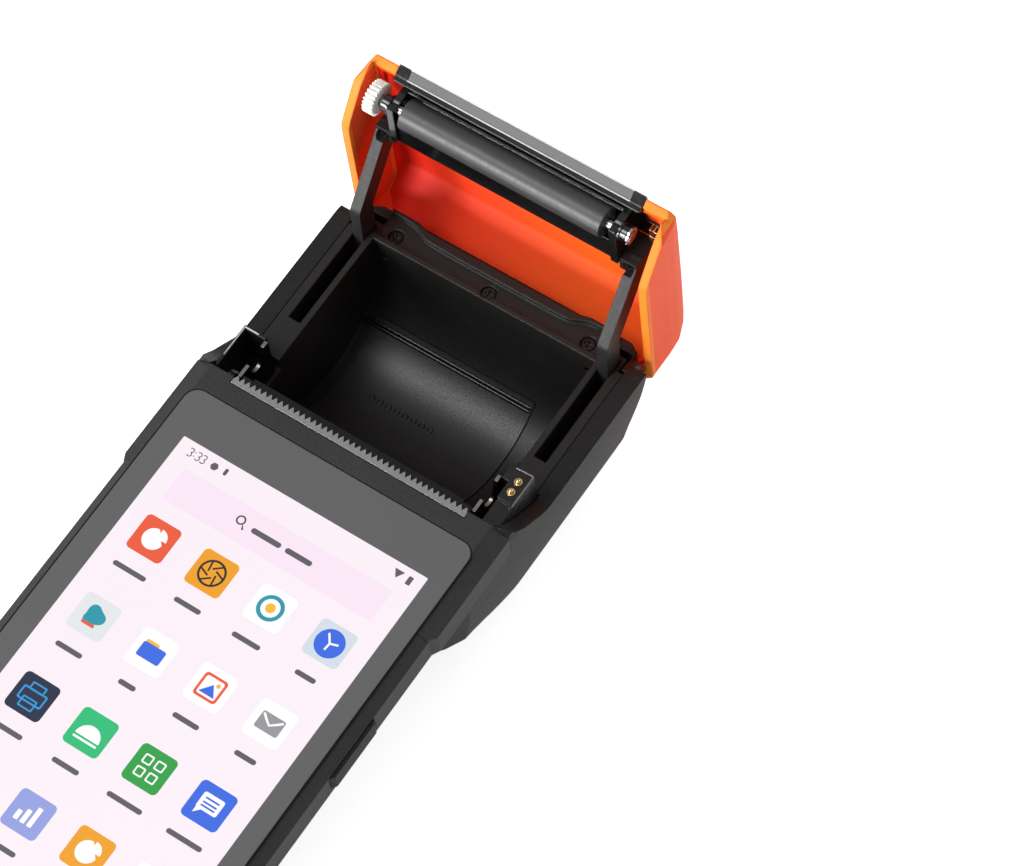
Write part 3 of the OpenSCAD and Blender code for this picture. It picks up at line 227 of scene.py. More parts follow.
def orangeShell(name):
    # satin orange with painted light: painted shade makes the inside redder and darker towards the left,
    # and a painted highlight makes the rim, the edges of the walls and the front wall paler; the place is
    # turned back by the tilt, so that the open lid's rim is at one y and its front wall begins at one z
    f = Finish(name)
    c, s = math.cos(lie["tilt"]), math.sin(lie["tilt"])
    place = f.split(f.mapped(turn=(-lie["tilt"], 0, 0)))
    low, high = (x / 1000 for x in shell["shadeSpan"])
    # painted shade: over this span of x the inside darkens towards the left
    shadeSpan = f.add("ShaderNodeMapRange", {"Value": place["X"], "From Min": low, "From Max": high})
    inward = f.calc("LESS_THAN", f.split(f.coords.outputs["Normal"])["Y"], shell["inward"])
    both = f.blend(inward, f.ramp(f.noise(scale=26, detail=4), shell["outside"]),
                   f.ramp(shadeSpan.outputs["Result"], shell["inside"]))
    # painted highlight: the rim band, the edges of the walls and the front wall take the paler colours
    rim = lidToRow((0, hinge["y"], shell["z"]))
    near = f.calc("LESS_THAN", place["Y"], rim[1] * c + rim[2] * s + shell["band"] / 1000)
    outer = f.calc("GREATER_THAN", f.calc("ABSOLUTE", place["X"]), shell["inner"] / 1000)
    walls = f.calc("MULTIPLY", outer, f.calc("MAXIMUM", near, inward))
    above = lidToRow((0, shell["front"], hinge["z"]))
    frontWall = f.calc("GREATER_THAN", place["Z"], above[2] * c - above[1] * s)
    edges = f.calc("MAXIMUM", walls, frontWall)
    f.put("Base Color", f.blend(edges, both, f.ramp(f.noise(scale=60, detail=3), shell["rim"])))
    fine = f.noise(shell["grain"], detail=2, rough=0.5)
    f.put("Roughness", f.ramp(fine, [(0.25, shell["rough"][0]), (0.75, shell["rough"][1])]))
    f.put("Normal", f.bump(fine, shell["depth"], strength=1, over=f.rounded(shell["edge"])))
    f.put("Specular IOR Level", shell["spec"])
    return f.mat


def turnedRubber(name, colour, rough, depth=0.000006, edge=0.0002):
    # ground rubber: very fine rings round the roller's length, with a dusty change of tone
    f = Finish(name)
    rings = f.noise(scale=700, detail=2, rough=0.5, where=f.mapped(scale=(6, 0.15, 0.15)))
    dust = f.noise(scale=60, detail=4)
    f.put("Base Color", f.ramp(dust, [(0.3, shaded(colour, 0.85)), (0.75, shaded(colour, 1.2))]))
    f.put("Roughness", f.ramp(rings, [(0.3, rough - 0.05), (0.7, rough + 0.06)]))
    f.put("Normal", f.bump(rings, depth, strength=0.6, over=f.rounded(edge)))
    return f.mat


def litScreen(name, colour, glow=0.8, rough=0.3, coat=0.6, coatRough=0.04):
    # a patch of the lit display: it glows faintly unevenly, under a clear glossy layer
    f = Finish(name)
    soft = f.noise(scale=9, detail=1)
    f.put("Emission Color", f.ramp(soft, [(0.3, shaded(colour, 0.985)), (0.7, colour)]))
    f.put("Emission Strength", glow)
    f.put("Base Color", f.ramp(soft, [(0.3, shaded(colour, 0.19)), (0.7, shaded(colour, 0.2))]))
    f.put("Roughness", rough)
    f.put("Coat Weight", coat)
    f.put("Coat Roughness", coatRough)
    return f.mat


finishes = {
    "frame": mouldedPlastic("charcoalFrame", srgb(50, 50, 51), rough=0.5, grain=2200, depth=0.00005,
                            edge=0.0005, spec=0.3, speck=0.34),
    "housing": mouldedPlastic("blackHousing", srgb(27, 27, 28), rough=0.5, grain=2000, depth=0.00006,
                              edge=0.0005, spec=0.3, speck=0.34),
    "tub": mouldedPlastic("bayMoulding", srgb(30, 29, 28), rough=0.44, grain=2600, depth=0.00003,
                          edge=0.0005, shade=0.2, spec=0.4),
    "plate": mouldedPlastic("bayPlate", srgb(40, 40, 40), rough=0.4, grain=3200, depth=0.00003,
                            edge=0.0, shade=0.1),
    # painted shade: near black along the bay's ridges and round its holes
    "ridge": mouldedPlastic("bayRidge", srgb(12, 12, 12), rough=0.3, grain=1500, depth=0.000004,
                            edge=0.0, shade=0.1),
    # painted shade: near black for the shade in the gap round the glass
    "gapShade": mouldedPlastic("glassGapPaintedShade", srgb(10, 10, 10), rough=0.6, grain=1500, depth=0.000004,
                             edge=0.0, shade=0.1, spec=0.2),
    # painted highlight: light grey for the light on the contact block's top edges
    "rim": mouldedPlastic("blockHighlight", srgb(112, 111, 110), rough=0.3, grain=1500, depth=0.000004,
                          edge=0.0, shade=0.1),
    "black": mouldedPlastic("blackMoulding", srgb(20, 20, 21), rough=0.32, grain=1500, depth=0.00001),
    "gloss": mouldedPlastic("blackGloss", srgb(14, 14, 15), rough=0.16, grain=900, edge=0.0004,
                            shade=0.1, coat=0.5),
    "arm": mouldedPlastic("armMoulding", srgb(40, 38, 39), rough=0.45, grain=1500, depth=0.00001,
                          spec=0.25),
    "lid": orangeShell("orangeShell"),
    "keyRubber": mouldedPlastic("keyRubber", srgb(16, 16, 17), rough=0.5, grain=1800, depth=0.00003,
                                edge=0.0004, shade=0.1, spec=0.25),
    "strip": mouldedPlastic("greyStrip", srgb(94, 93, 93), rough=0.5, grain=2200, depth=0.00003,
                            edge=0.00015),
    "white": mouldedPlastic("whiteGear", srgb(252, 250, 244), rough=0.4, grain=1200, depth=0.000004,
                            edge=0.0002, shade=0.03),
    "steel": drawnMetal("brightSteel", (0.62, 0.62, 0.63), rough=0.22, along=(1, 9, 9)),
    # painted light on the printer frame: dark sides as painted shade, lit tops as painted highlight
    "stamped": drawnMetal("stampedSteelPaintedLight", (0.3, 0.3, 0.29), rough=0.36, along=(1, 6, 6),
                          flat=(0.02, 0.02, 0.021)),
    # painted highlight: near white for the light on the bar's edges and round the left tower
    "bright": mouldedPlastic("edgeHighlight", srgb(200, 198, 194), rough=0.3, grain=1200, depth=0.000004,
                             edge=0.0, shade=0.06),
    "darkSteel": drawnMetal("darkSteel", (0.09, 0.09, 0.092), rough=0.36, along=(1, 6, 6)),
    "head": drawnMetal("headPlate", (0.035, 0.035, 0.036), rough=0.4, along=(1, 6, 6)),
    "shaft": drawnMetal("shaftSteel", (0.3, 0.3, 0.31), rough=0.22, along=(1, 9, 9)),
    "tear": drawnMetal("tearSteel", (0.4, 0.4, 0.405), rough=0.42, along=(1, 14, 14)),
    "screw": drawnMetal("blackScrew", (0.05, 0.05, 0.052), rough=0.35, along=(1, 1, 1)),
    "brass": drawnMetal("goldPlate", (0.98, 0.72, 0.36), rough=0.22, along=(1, 1, 1)),
    "copper": drawnMetal("copperStrip", (0.8, 0.42, 0.24), rough=0.26, along=(1, 5, 5)),
    "motor": drawnMetal("motorCase", (0.45, 0.45, 0.46), rough=0.4, along=(1, 3, 3)),
    "roller": turnedRubber("platenRubber", srgb(56, 56, 57), rough=0.42),
    "foot": turnedRubber("footRubber", srgb(28, 28, 29), rough=0.7),
    "board": mouldedPlastic("boardResist", srgb(20, 70, 44), rough=0.35, grain=700, depth=0.00001,
                            edge=0.0002, shade=0.15),
    "wrap": mouldedPlastic("batteryWrap", srgb(34, 36, 44), rough=0.3, grain=500, depth=0.00001,
                           edge=0.0005, shade=0.1),
    "lens": mouldedPlastic("darkLens", srgb(10, 10, 14), rough=0.08, grain=300, shade=0.1, coat=0.8),
    # painted reflection: the glass's grey stands for the lamps' reflection on black glass
    "glass": mouldedPlastic("glassPaintedReflection", srgb(92, 92, 93), rough=0.12, grain=400, shade=0.01, speck=0.0),
}
print("stage: finishes made")

nodeFinish = {
    "front_frame": "frame", "rear_housing": "housing", "cover_glass": "glass", "display_panel": "lens",
    "main_board": "board", "usb_board": "board", "usb_port": "steel", "battery_pack": "wrap",
    "battery_door": "housing", "loudspeaker": "black", "camera_module": "black", "camera_window": "lens",
    "paper_tub": "tub", "tub_plate": "plate", "paper_sensor": "black", "ledge_screws": "screw",
    "housing_screws": "screw", "rubber_feet": "foot", "tear_bar": "tear", "printer_frame": "stamped",
    "print_head": "head", "head_springs": "darkSteel", "stepper_motor": "motor", "motor_pinion": "brass",
    "reduction_gear": "black", "drive_gear": "black", "gear_posts": "darkSteel", "gear_tower": "black",
    "contact_block": "black", "contact_sleeves": "brass", "front_plunger": "brass",
    "rear_plunger": "brass", "hinge_pins": "steel", "scan_key": "keyRubber", "volume_key": "black",
    "power_key": "black", "key_switches": "steel", "lid_shell": "lid", "lid_frame": "gloss",
    "left_arm": "arm", "right_arm": "arm", "arm_screws": "screw", "lip_bar": "gloss",
    "lip_strip": "strip", "shaft_bushes": "gloss", "lid_contact": "copper", "platen_rubber": "roller",
    "platen_shaft": "shaft", "platen_gear": "white", "gear_clip": "steel",
}
for name, obj in nodes.items():
    obj.data.materials.clear()
    obj.data.materials.append(finishes[nodeFinish[name]])
print("stage: nodes finished")


def putMesh(name, points, faces, mats, body, which=None, smooth=True):
    # one mesh from arrays of points in metres and of four-cornered faces
    mesh = bpy.data.meshes.new(name)
    mesh.vertices.add(len(points))
    mesh.vertices.foreach_set("co", np.ascontiguousarray(points, np.float32).ravel())
    mesh.loops.add(faces.size)
    mesh.loops.foreach_set("vertex_index", np.ascontiguousarray(faces, np.int32).ravel())
    mesh.polygons.add(len(faces))
    mesh.polygons.foreach_set("loop_start", np.arange(len(faces), dtype=np.int32) * faces.shape[1])
    for m in mats:
        mesh.materials.append(m)
    if which is not None:
        mesh.polygons.foreach_set("material_index", np.ascontiguousarray(which, np.int32))
    mesh.update(calc_edges=True)
    mesh.validate()
    mesh.polygons.foreach_set("use_smooth", np.full(len(mesh.polygons), smooth))
    obj = bpy.data.objects.new(name, mesh)
    bpy.context.scene.collection.objects.link(obj)
    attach(obj, body)
    return obj


def gridFaces(nu, nv, roundU=False):
    # faces of a grid of nu by nv points, closed on itself along u if asked
    u = np.arange(nu if roundU else nu - 1)
    a, b = np.meshgrid(u, np.arange(nv - 1), indexing="ij")
    n = (a + 1) % nu
    return np.stack([a * nv + b, n * nv + b, n * nv + b + 1, a * nv + b + 1], -1).reshape(-1, 4)


class Sheet:
    # flat patches gathered into one mesh: each is a grid of points at one height, in a named colour
    def __init__(self, colours):
        self.colours = {c: k for k, c in enumerate(colours)}
        self.points, self.faces, self.which, self.count = [], [], [], 0

    def lay(self, grid, height, faces, colour):
        pts = np.concatenate([grid, np.full(grid.shape[:2] + (1,), height)], -1).reshape(-1, 3)
        self.points.append(pts)
        self.faces.append(faces + self.count)
        self.which.append(np.full(len(faces), self.colours[colour]))
        self.count += len(pts)

    def patch(self, outline, height, colour, middle=None, rings=2, least=0.0005):
        # point = middle + share * (outline - middle), share from nearly 0 to 1
        outline = np.asarray(outline, float)
        middle = outline.mean(0) if middle is None else np.asarray(middle, float)
        share = np.linspace(least, 1, rings + 1)[None, :, None]
        faces = gridFaces(len(outline), rings + 1, True)[:, ::-1]
        self.lay(middle + share * (outline[:, None, :] - middle), height, faces, colour)

    def band(self, inner, outer, height, colour):
        # a ring between two outlines of equal length
        self.lay(np.stack([inner, outer], 1), height, gridFaces(len(inner), 2, True)[:, ::-1], colour)

    def stroke(self, line, width, height, colour):
        # a thin band along a line of points, half its width to each side
        line = np.asarray(line, float)
        along = np.gradient(line, axis=0)
        along /= np.linalg.norm(along, axis=1)[:, None]
        side = np.stack([-along[:, 1], along[:, 0]], 1) * width / 2
        self.lay(np.stack([line + side, line - side], 1), height, gridFaces(len(line), 2), colour)


def roundBox(cx, cy, w, h, r, n=6):
    # a rectangle's outline with quarter circles at its corners, counterclockwise
    a = np.linspace(0, np.pi / 2, n)
    arc = np.stack([np.cos(a), np.sin(a)], 1) * r
    out = []
    for k, (sx, sy) in enumerate(((1, 1), (-1, 1), (-1, -1), (1, -1))):
        c, s = math.cos(k * math.pi / 2), math.sin(k * math.pi / 2)
        turned = arc @ np.array([[c, s], [-s, c]])
        out.append(turned + [cx + sx * (w / 2 - r), cy + sy * (h / 2 - r)])
    return np.concatenate(out)


def ringOf(cx, cy, r, n=28, start=0.0, turn=2 * math.pi):
    # n points round a middle, from one angle through a turn, in radians
    a = start + np.arange(n) * turn / n
    return np.stack([cx + r * np.cos(a), cy + r * np.sin(a)], 1)


def straight(a, b, n=24):
    return np.asarray(a, float) + (np.asarray(b, float) - a) * np.linspace(0, 1, n)[:, None]


# the beads' half-round profile: its points, and how far its ends reach below the surface, in radians
profile = {"points": 9, "dip": 0.25}


def bead(name, path, radius, finish, body, place, up=(0, 0, 1), closed=False, flat=1.0):
    # a half-round bead laid along a path of points: the profile's point at angle a lies at
    # path + radius * cos(a) * side + flat * radius * sin(a) * up, side being square to both
    path, up = np.asarray(path, float), np.asarray(up, float)
    if closed:
        along = np.roll(path, -1, 0) - np.roll(path, 1, 0)
    else:
        along = np.gradient(path, axis=0)
    side = np.cross(along, up)
    side /= np.linalg.norm(side, axis=1)[:, None]
    a = np.linspace(-profile["dip"], np.pi + profile["dip"], profile["points"])
    pts = (path[:, None, :] + radius * np.cos(a)[None, :, None] * side[:, None, :]
           + flat * radius * np.sin(a)[None, :, None] * up)
    faces = gridFaces(len(path), profile["points"], closed)
    putMesh(name, place(pts.reshape(-1, 3)), faces[:, ::-1], [finishes[finish]], body)


# painted shade: a thin black bead in the gap all round the glass, standing for the shade in that gap; in mm
glassGapShade = {"half": 36.22, "top": 10.92, "bottom": -136.12, "corner": 3.3, "steps": 10, "radius": 0.2,
             "flat": 0.5, "z": -0.06}
outline = roundBox(0, (glassGapShade["top"] + glassGapShade["bottom"]) / 2, 2 * glassGapShade["half"],
                   glassGapShade["top"] - glassGapShade["bottom"], glassGapShade["corner"], glassGapShade["steps"])
bead("glassGapShade", np.column_stack([outline, np.full(len(outline), glassGapShade["z"])]), glassGapShade["radius"],
     "gapShade", "terminal", toRow, closed=True, flat=glassGapShade["flat"])

# two ridges and a row of small holes with raised rims on the bay's round floor, drawn near black as painted
# shade along the ridges and in the holes; the floor's axis is at y and z: a ridge has its angle in degrees
# and its two ends in x, the holes their ends in x and number
bayFloor = {
    "y": 44.4, "z": -18.6, "r": 20.15,
    "ridges": ((-52.6, -28.6, 15.6), (-50.2, -28.0, 15.6)), "ridge": 0.42, "ridgeFlat": 0.8,
    "holes": (-17.2, -1.7, 8), "holeAngle": -94, "hole": 0.62, "holeRim": 0.16, "holePoints": 20,
}


def bayPoint(angle):
    # a point of the round floor at x = 0, and the direction from it to the axis
    c, s = math.cos(math.radians(angle)), math.sin(math.radians(angle))
    return np.array([0, bayFloor["y"] + bayFloor["r"] * c, bayFloor["z"] + bayFloor["r"] * s]), (0, -c, -s)


for k, (angle, x0, x1) in enumerate(bayFloor["ridges"]):
    at, inward = bayPoint(angle)
    bead("bayRidge%d" % k, straight(at + (x0, 0, 0), at + (x1, 0, 0)), bayFloor["ridge"], "ridge",
         "terminal", toRow, inward, flat=bayFloor["ridgeFlat"])
at, inward = bayPoint(bayFloor["holeAngle"])
hole = at + ringOf(0, 0, bayFloor["hole"], bayFloor["holePoints"]) @ [(1, 0, 0), (0, inward[2], -inward[1])]
for k, x in enumerate(np.linspace(*bayFloor["holes"])):
    bead("bayHole%d" % k, hole + (x, 0, 0), bayFloor["holeRim"], "ridge", "terminal", toRow, inward,
         closed=True)

# the floor plate's upper face, a smooth arc of the same cylinder just above the plate
bayArc = {"x": (-26, 16), "angles": (-138, -46), "steps": (72, 22)}
angle, x = np.meshgrid(np.radians(np.linspace(*bayArc["angles"], bayArc["steps"][0])),
                       np.linspace(*bayArc["x"], bayArc["steps"][1]), indexing="ij")
arc = np.stack([x, bayFloor["y"] + bayFloor["r"] * np.cos(angle),
                bayFloor["z"] + bayFloor["r"] * np.sin(angle)], -1)
putMesh("bayArc", toRow(arc.reshape(-1, 3)), gridFaces(*bayArc["steps"])[:, ::-1], [finishes["plate"]],
        "terminal")

# painted highlights: bright lines along the edges of the bar on the lid's front edge, in the closed lid's
# place
barHighlight = {"from": (17.9, 1.9), "to": (19.5, -0.1), "half": 27.9, "shares": (0.05, 0.99), "radius": 0.16,
           "outward": (0, -0.78, -0.62), "flat": 0.9}
for k, share in enumerate(barHighlight["shares"]):
    y, z = np.array(barHighlight["from"]) + share * (np.array(barHighlight["to"]) - barHighlight["from"])
    bead("barHighlight%d" % k, straight((-barHighlight["half"], y, z), (barHighlight["half"], y, z)), barHighlight["radius"],
         "bright", "lid", lidToRow, barHighlight["outward"], flat=barHighlight["flat"])

# painted highlights: thin raised light beads along the top edges of the contact block and round the left
# tower, for the light those edges catch; each has a finish and two ends
highlightShape = {"radius": 0.16, "flat": 0.8}
highlightLines = {
    "blockHighlightBack": ("rim", (31.8, 31.5, -2.4), (36.1, 31.5, -2.0)),
    "blockHighlightSide": ("rim", (36.15, 31.4, -2.0), (36.15, 23.2, -2.0)),
    "towerHighlightSide": ("bright", (-35.9, 21.0, -2.4), (-35.9, 28.85, -2.4)),
    "towerHighlightBack": ("bright", (-35.9, 28.85, -2.4), (-32.3, 28.85, -2.4)),
}
for name, (finish, a, b) in highlightLines.items():
    bead(name, straight(a, b), highlightShape["radius"], finish, "terminal", toRow, flat=highlightShape["flat"])

# the print head's two coil springs, which shorten as the head tips back, built here at one length; the wire
# has a number of points round it and of steps in a turn, and "taper" is the share of its length that it
# thins over
coil = {"x": (-15, 15), "z": -6.2, "from": 13.7, "to": 17.5, "r": 1.55, "wire": 0.25, "turns": 4,
        "keep": 0.9, "steps": 24, "points": 10, "taper": 1 / 60, "least": 0.01}
for k, x in enumerate(coil["x"]):
    # point = middle line of the coil + wire * (cos(b) * outward + sin(b) * across), with the wire
    # thinning to almost nothing at both ends
    u = np.linspace(0, 1, coil["steps"] * coil["turns"] + 1)
    a = 2 * np.pi * coil["turns"] * u
    out = np.stack([np.cos(a), np.zeros_like(a), np.sin(a)], 1)
    middle = coil["r"] * out + straight((x, coil["from"], coil["z"]), (x, coil["to"], coil["z"]), len(u))
    b = np.arange(coil["points"]) * 2 * np.pi / coil["points"]
    thick = coil["wire"] * np.clip(np.minimum(u, 1 - u) / coil["taper"], coil["least"], 1) ** 0.5
    tube = (middle[None] + (np.cos(b)[:, None] * thick)[..., None] * out[None]
            + (np.sin(b)[:, None] * thick)[..., None] * np.array([0, 1, 0]))
    spring = putMesh("headCoil%d" % k, toRow(tube.reshape(-1, 3)), gridFaces(coil["points"], len(u), True),
                     [finishes["darkSteel"]], "terminal")
    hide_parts("head_springs")
    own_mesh(spring)
print("stage: small pieces made")


# the display: plain tiles with simple signs, and bars where a name would stand; its layers lie one
# step above the other, and every position is in mm from the middle of the lit picture's upper edge
screen = {
    "half": 31.0, "top": 0.0, "bottom": -124.0, "corner": 0.3, "rings": 6,
    "lift": 0.03, "step": 0.012, "aside": 0.45,
    "pitch": 14.83, "firstRow": -22.7, "rowPitch": 20.92, "tile": 8.78, "tileCorner": 1.1,
    "barDrop": 8.6, "barHeight": 1.15, "barCorner": 0.55,
    "clock": (-27.6, -2.4), "endLine": (0, -121.4, 18, 0.5, 0.25),
}
screenColours = {
    "ground": (250, 239, 246), "pill": (250, 230, 246), "ink": (60, 56, 62), "label": (92, 88, 96),
    "red": (236, 88, 52), "amber": (240, 160, 16), "white": (255, 255, 255), "mist": (212, 222, 232),
    "pale": (228, 232, 234), "teal": (30, 150, 170), "blue": (52, 104, 226), "navy": (16, 34, 62),
    "cyan": (40, 150, 220), "green": (36, 190, 120), "leaf": (38, 160, 66), "plum": (92, 58, 96),
    "peri": (148, 160, 226), "yellow": (246, 188, 40), "grey": (150, 150, 156), "dark": (34, 32, 36),
}


# the search field and its two bars, as boxes with a corner radius, and its magnifier: a ring's middle
# and two radii, and the outline of the handle
search = {
    "field": (0, -10.2, 53, 8.2, 0.8),
    "bars": ((-2.6, -10.2, 7.4, 1.25, 0.6), (5.6, -10.2, 6.6, 1.25, 0.6)),
    "ring": (-9.4, -9.6), "radii": (0.75, 1.1),
    "handle": ((-8.1, -11.5), (-7.75, -11.2), (-8.45, -10.3), (-8.75, -10.0)),
}
# outlines of the status signs along the upper edge
statusSigns = [
    ((26.3, -1.5), (23.9, -1.5), (25.1, -3.4)),
    roundBox(28.0, -2.5, 1.1, 2.0, 0.2),
    ringOf(-21.4, -2.5, 0.95, 6),
    roundBox(-18.6, -2.3, 0.8, 1.7, 0.4),
]


def clockDigits(s, x, y, z):
    # three plain threes with two dots: each digit is two open arcs, the lower one the upper's mirror
    # image, drawn the other way round
    digit = {"places": (0, 2.0, 3.3), "half": 0.5, "r": 0.5, "line": 0.2}
    dots = {"x": 1.05, "half": 0.45, "r": 0.13}
    for dx in digit["places"]:
        for side in (1, -1):
            a = side * np.linspace(2.6, -1.5, 12)[::side]
            middle = (x + dx, y + side * digit["half"])
            arc = np.stack([middle[0] + digit["r"] * np.cos(a), middle[1] + digit["r"] * np.sin(a)], 1)
            s.stroke(arc, digit["line"], z, "ink")
    for side in (1, -1):
        s.patch(ringOf(x + dots["x"], y + side * dots["half"], dots["r"], 8), z, "ink")


def signPie(s, x, y, z, dz):
    s.patch(ringOf(x - 0.1, y - 0.1, 2.5, 21, 1.6, 4.72), z, "white", (x - 0.1, y - 0.1))
    arc = ringOf(x + 0.4, y + 0.4, 2.3, 8, 0, 1.79)
    s.patch(np.vstack([[x + 0.4, y + 0.4], arc]), z, "white", (x + 1.2, y + 1.2))


def signShutter(s, x, y, z, dz):
    s.band(ringOf(x, y, 2.6), ringOf(x, y, 3.1), z, "dark")
    for k in range(6):
        a = k * math.pi / 3
        outer = (2.7 * math.cos(a), 2.7 * math.sin(a))
        s.stroke(straight(outer, (math.cos(a + 1.0), math.sin(a + 1.0)), 4) + [x, y], 0.42, z, "dark")


def signRings(s, x, y, z, dz):
    s.patch(ringOf(x, y, 3.0), z, "teal")
    s.patch(ringOf(x, y, 2.1), z + dz, "white")
    s.patch(ringOf(x, y, 1.1), z + 2 * dz, "yellow")


def signClock(s, x, y, z, dz):
    s.patch(ringOf(x, y, 3.3), z, "blue")
    for a, r in ((2.2, 2.4), (0.3, 1.9), (4.6, 1.7)):
        end = (x + r * math.cos(a), y + r * math.sin(a))
        s.stroke(straight((x, y), end, 4), 0.45, z + dz, "white")


def signBlob(s, x, y, z, dz):
    a = np.arange(36) * 2 * np.pi / 36
    r = 2.3 + 0.35 * np.cos(3 * a)
    s.patch(np.stack([x + r * np.cos(a), y + 0.2 + r * np.sin(a)], 1), z, "teal")
    s.patch(roundBox(x - 0.2, y - 1.9, 3.2, 0.7, 0.3), z + dz, "red")


def signFolder(s, x, y, z, dz):
    s.patch(roundBox(x - 0.9, y + 1.1, 3.2, 2.0, 0.4), z, "yellow")
    s.patch(roundBox(x, y - 0.3, 5.6, 3.5, 0.5), z + dz, "blue")


def signPicture(s, x, y, z, dz):
    s.band(roundBox(x, y, 4.4, 4.4, 0.5), roundBox(x, y, 5.6, 5.6, 0.8), z, "red")
    s.patch([[x - 1.9, y - 1.7], [x + 1.9, y - 1.7], [x + 0.2, y + 0.9]], z + dz, "blue")
    s.patch(ringOf(x + 1.2, y + 1.1, 0.5, 14), z + dz, "yellow")


def signLetter(s, x, y, z, dz):
    s.patch(roundBox(x, y, 5.6, 4.0, 0.5), z, "grey")
    fold = [[-2.4, 1.5], [-1.2, 0.5], [0, -0.4], [1.2, 0.5], [2.4, 1.5]]
    s.stroke(np.array(fold) + [x, y], 0.5, z + dz, "white")


def signPrinter(s, x, y, z, dz):
    s.band(roundBox(x, y - 0.1, 5.2, 2.4, 0.3), roundBox(x, y - 0.1, 6.0, 3.2, 0.5), z, "cyan")
    s.band(roundBox(x, y + 2.0, 2.9, 1.2, 0.2), roundBox(x, y + 2.0, 3.6, 1.9, 0.3), z, "cyan")
    s.band(roundBox(x, y - 1.8, 2.9, 1.9, 0.2), roundBox(x, y - 1.8, 3.6, 2.6, 0.3), z + dz, "cyan")


def signDome(s, x, y, z, dz):
    s.patch(ringOf(x, y - 1.5, 2.9, 20, 0, 3.3), z, "white", (x, y - 0.6))
    s.patch(roundBox(x, y - 2.2, 5.8, 0.5, 0.2), z, "white")


def signGrid(s, x, y, z, dz):
    for cx in (x - 1.5, x + 1.5):
        for cy in (y - 1.5, y + 1.5):
            s.band(roundBox(cx, cy, 1.5, 1.5, 0.2), roundBox(cx, cy, 2.2, 2.2, 0.4), z, "white")


def signTalk(s, x, y, z, dz):
    s.patch(roundBox(x, y + 0.4, 5.0, 3.8, 0.5), z, "white")
    s.patch([[x - 2.3, y - 2.8], [x - 0.8, y - 1.3], [x - 2.3, y - 1.3]], z, "white")
    for dy in (1.2, 0.2, -0.6):
        s.patch(roundBox(x, y + dy, 3.4, 0.4, 0.2), z + dz, "blue")


def signCog(s, x, y, z, dz):
    a = np.arange(64) * 2 * np.pi / 64
    r = 2.45 + 0.45 * np.tanh(3 * np.cos(8 * a))
    s.patch(np.stack([x + r * np.cos(a), y + r * np.sin(a)], 1), z, "white")
    s.patch(ringOf(x, y, 1.1), z + dz, "plum")


def signBars(s, x, y, z, dz):
    for k, h in enumerate((2.2, 3.2, 4.6)):
        s.patch(roundBox(x - 1.9 + 1.7 * k, y - 2.2 + h / 2, 1.1, h, 0.2), z, "white")


# the tiles, four in a row of the display: sign, colour, and how long the bar below it is
tiles = [
    (signPie, "red", 8.2), (signShutter, "amber", 6.6),
    (signRings, "white", 6.9), (signClock, "mist", 5.0),
    (signBlob, "pale", 6.6), (signFolder, "white", 4.2),
    (signPicture, "white", 6.4), (signLetter, "white", 5.2),
    (signPrinter, "navy", 7.6), (signDome, "green", 6.6),
    (signGrid, "leaf", 8.6), (signTalk, "blue", 8.6),
    (signCog, "plum", 6.6), (signBars, "peri", 6.2),
    (signPie, "amber", 5.4), (signRings, "white", 7.2),
    (signFolder, "white", 6.0), (signClock, "teal", 6.6),
    (signGrid, "navy", 5.2), (signPicture, "white", 7.0),
]


def screenPicture():
    s = Sheet(screenColours)
    dz = screen["step"]
    ground, tile, sign = (screen["lift"] + k * dz for k in range(3))
    middle, height = (screen["top"] + screen["bottom"]) / 2, screen["top"] - screen["bottom"]
    s.patch(roundBox(0, middle, 2 * screen["half"], height, screen["corner"]), ground, "ground",
            rings=screen["rings"])
    s.patch(roundBox(*search["field"]), tile, "pill")
    s.band(*(ringOf(*search["ring"], r) for r in search["radii"]), sign, "ink")
    s.patch(search["handle"], sign, "ink")
    for bar in search["bars"]:
        s.patch(roundBox(*bar), sign, "label")
    for outline in statusSigns:
        s.patch(outline, sign, "label")
    clockDigits(s, *screen["clock"], sign)
    for k, (draw, colour, width) in enumerate(tiles):
        x = (k % 4 - 1.5) * screen["pitch"]
        y = screen["firstRow"] - (k // 4) * screen["rowPitch"]
        s.patch(roundBox(x, y, screen["tile"], screen["tile"], screen["tileCorner"]), tile, colour)
        draw(s, x, y, sign, dz)
        s.patch(roundBox(x, y - screen["barDrop"], width, screen["barHeight"], screen["barCorner"]), tile,
                "label")
    s.patch(roundBox(*screen["endLine"]), tile, "label")
    mats = [litScreen("screen" + c.capitalize(), srgb(*v)) for c, v in screenColours.items()]
    points = np.concatenate(s.points) + [screen["aside"], 0, 0]
    return putMesh("screenPicture", toRow(points), np.concatenate(s.faces), mats,
                   "terminal", np.concatenate(s.which), False)


picture = screenPicture()
print("stage: display made")


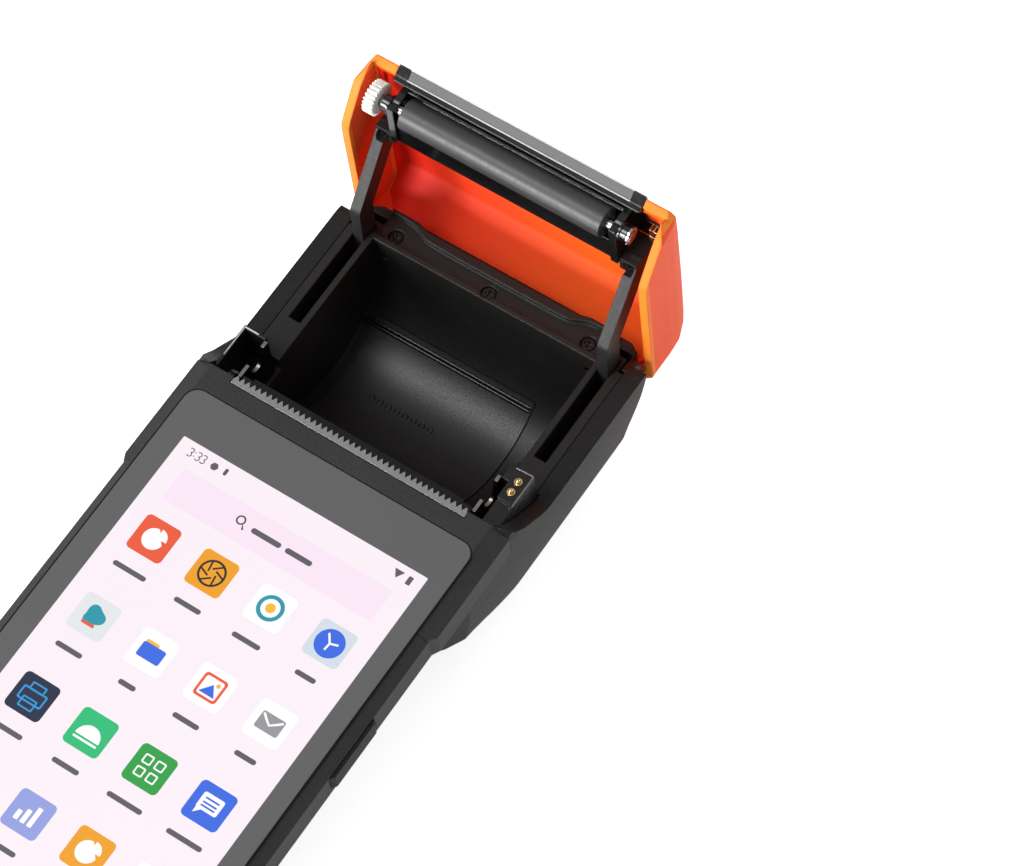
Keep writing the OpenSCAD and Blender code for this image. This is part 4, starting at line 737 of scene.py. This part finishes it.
# floor, background and soft light, in metres and watts; the floor's own glow is faint for the light
# that falls on the terminal, and stronger where the camera looks at it directly, to keep it white
studio = {
    "half": 3.0, "points": 9, "drop": 0.0002, "white": [(0.3, 0.93), (0.7, 0.95)], "rough": 0.9,
    "spec": 0.1, "glow": (0.3, 0.78), "world": 0.42,
}
lamps = {
    "keyLamp": {"place": (-0.34, -0.5, 0.95), "aim": (0, 0, 0.03), "size": 0.42, "power": 4.8},
    "frontLamp": {"place": (-0.48, -1.2, 0.26), "aim": (0, 0, 0.05), "size": 0.5, "power": 18.0},
    "backLamp": {"place": (0.46, 0.5, 0.3), "aim": (0, 0.03, 0.06), "size": 0.3, "power": 0.8},
}


def makeStage():
    u = np.linspace(-studio["half"], studio["half"], studio["points"])
    x, y = np.meshgrid(u, u, indexing="ij")
    pts = np.stack([x, y, np.full_like(x, -studio["drop"])], -1).reshape(-1, 3)
    mesh = bpy.data.meshes.new("floor")
    mesh.from_pydata(pts.tolist(), [], gridFaces(studio["points"], studio["points"]).tolist())
    floor = bpy.data.objects.new("floor", mesh)
    bpy.context.scene.collection.objects.link(floor)
    f = Finish("paleFloor")
    f.put("Roughness", studio["rough"])
    f.put("Specular IOR Level", studio["spec"])
    pale = f.ramp(f.noise(scale=3, detail=2), studio["white"])
    f.put("Base Color", pale)
    f.put("Emission Color", pale)
    seen = f.add("ShaderNodeLightPath", {}).outputs["Is Camera Ray"]
    low, high = studio["glow"]
    glow = f.add("ShaderNodeMapRange", {"Value": seen, "To Min": low, "To Max": high})
    f.put("Emission Strength", glow.outputs["Result"])
    mesh.materials.append(f.mat)
    world = bpy.data.worlds.new("studio")
    bpy.context.scene.world = world
    world.use_nodes = True
    background = world.node_tree.nodes["Background"]
    background.inputs["Color"].default_value = (1, 1, 1, 1)
    background.inputs["Strength"].default_value = studio["world"]
    for name, lamp in lamps.items():
        data = bpy.data.lights.new(name, "AREA")
        data.shape, data.size, data.energy = "SQUARE", lamp["size"], lamp["power"]
        obj = bpy.data.objects.new(name, data)
        obj.location = lamp["place"]
        aim = Vector(lamp["aim"]) - Vector(lamp["place"])
        obj.rotation_euler = aim.to_track_quat("-Z", "Y").to_euler()
        bpy.context.scene.collection.objects.link(obj)


makeStage()
bpy.context.scene.view_settings.view_transform = "Standard"
print("stage: floor and light made")
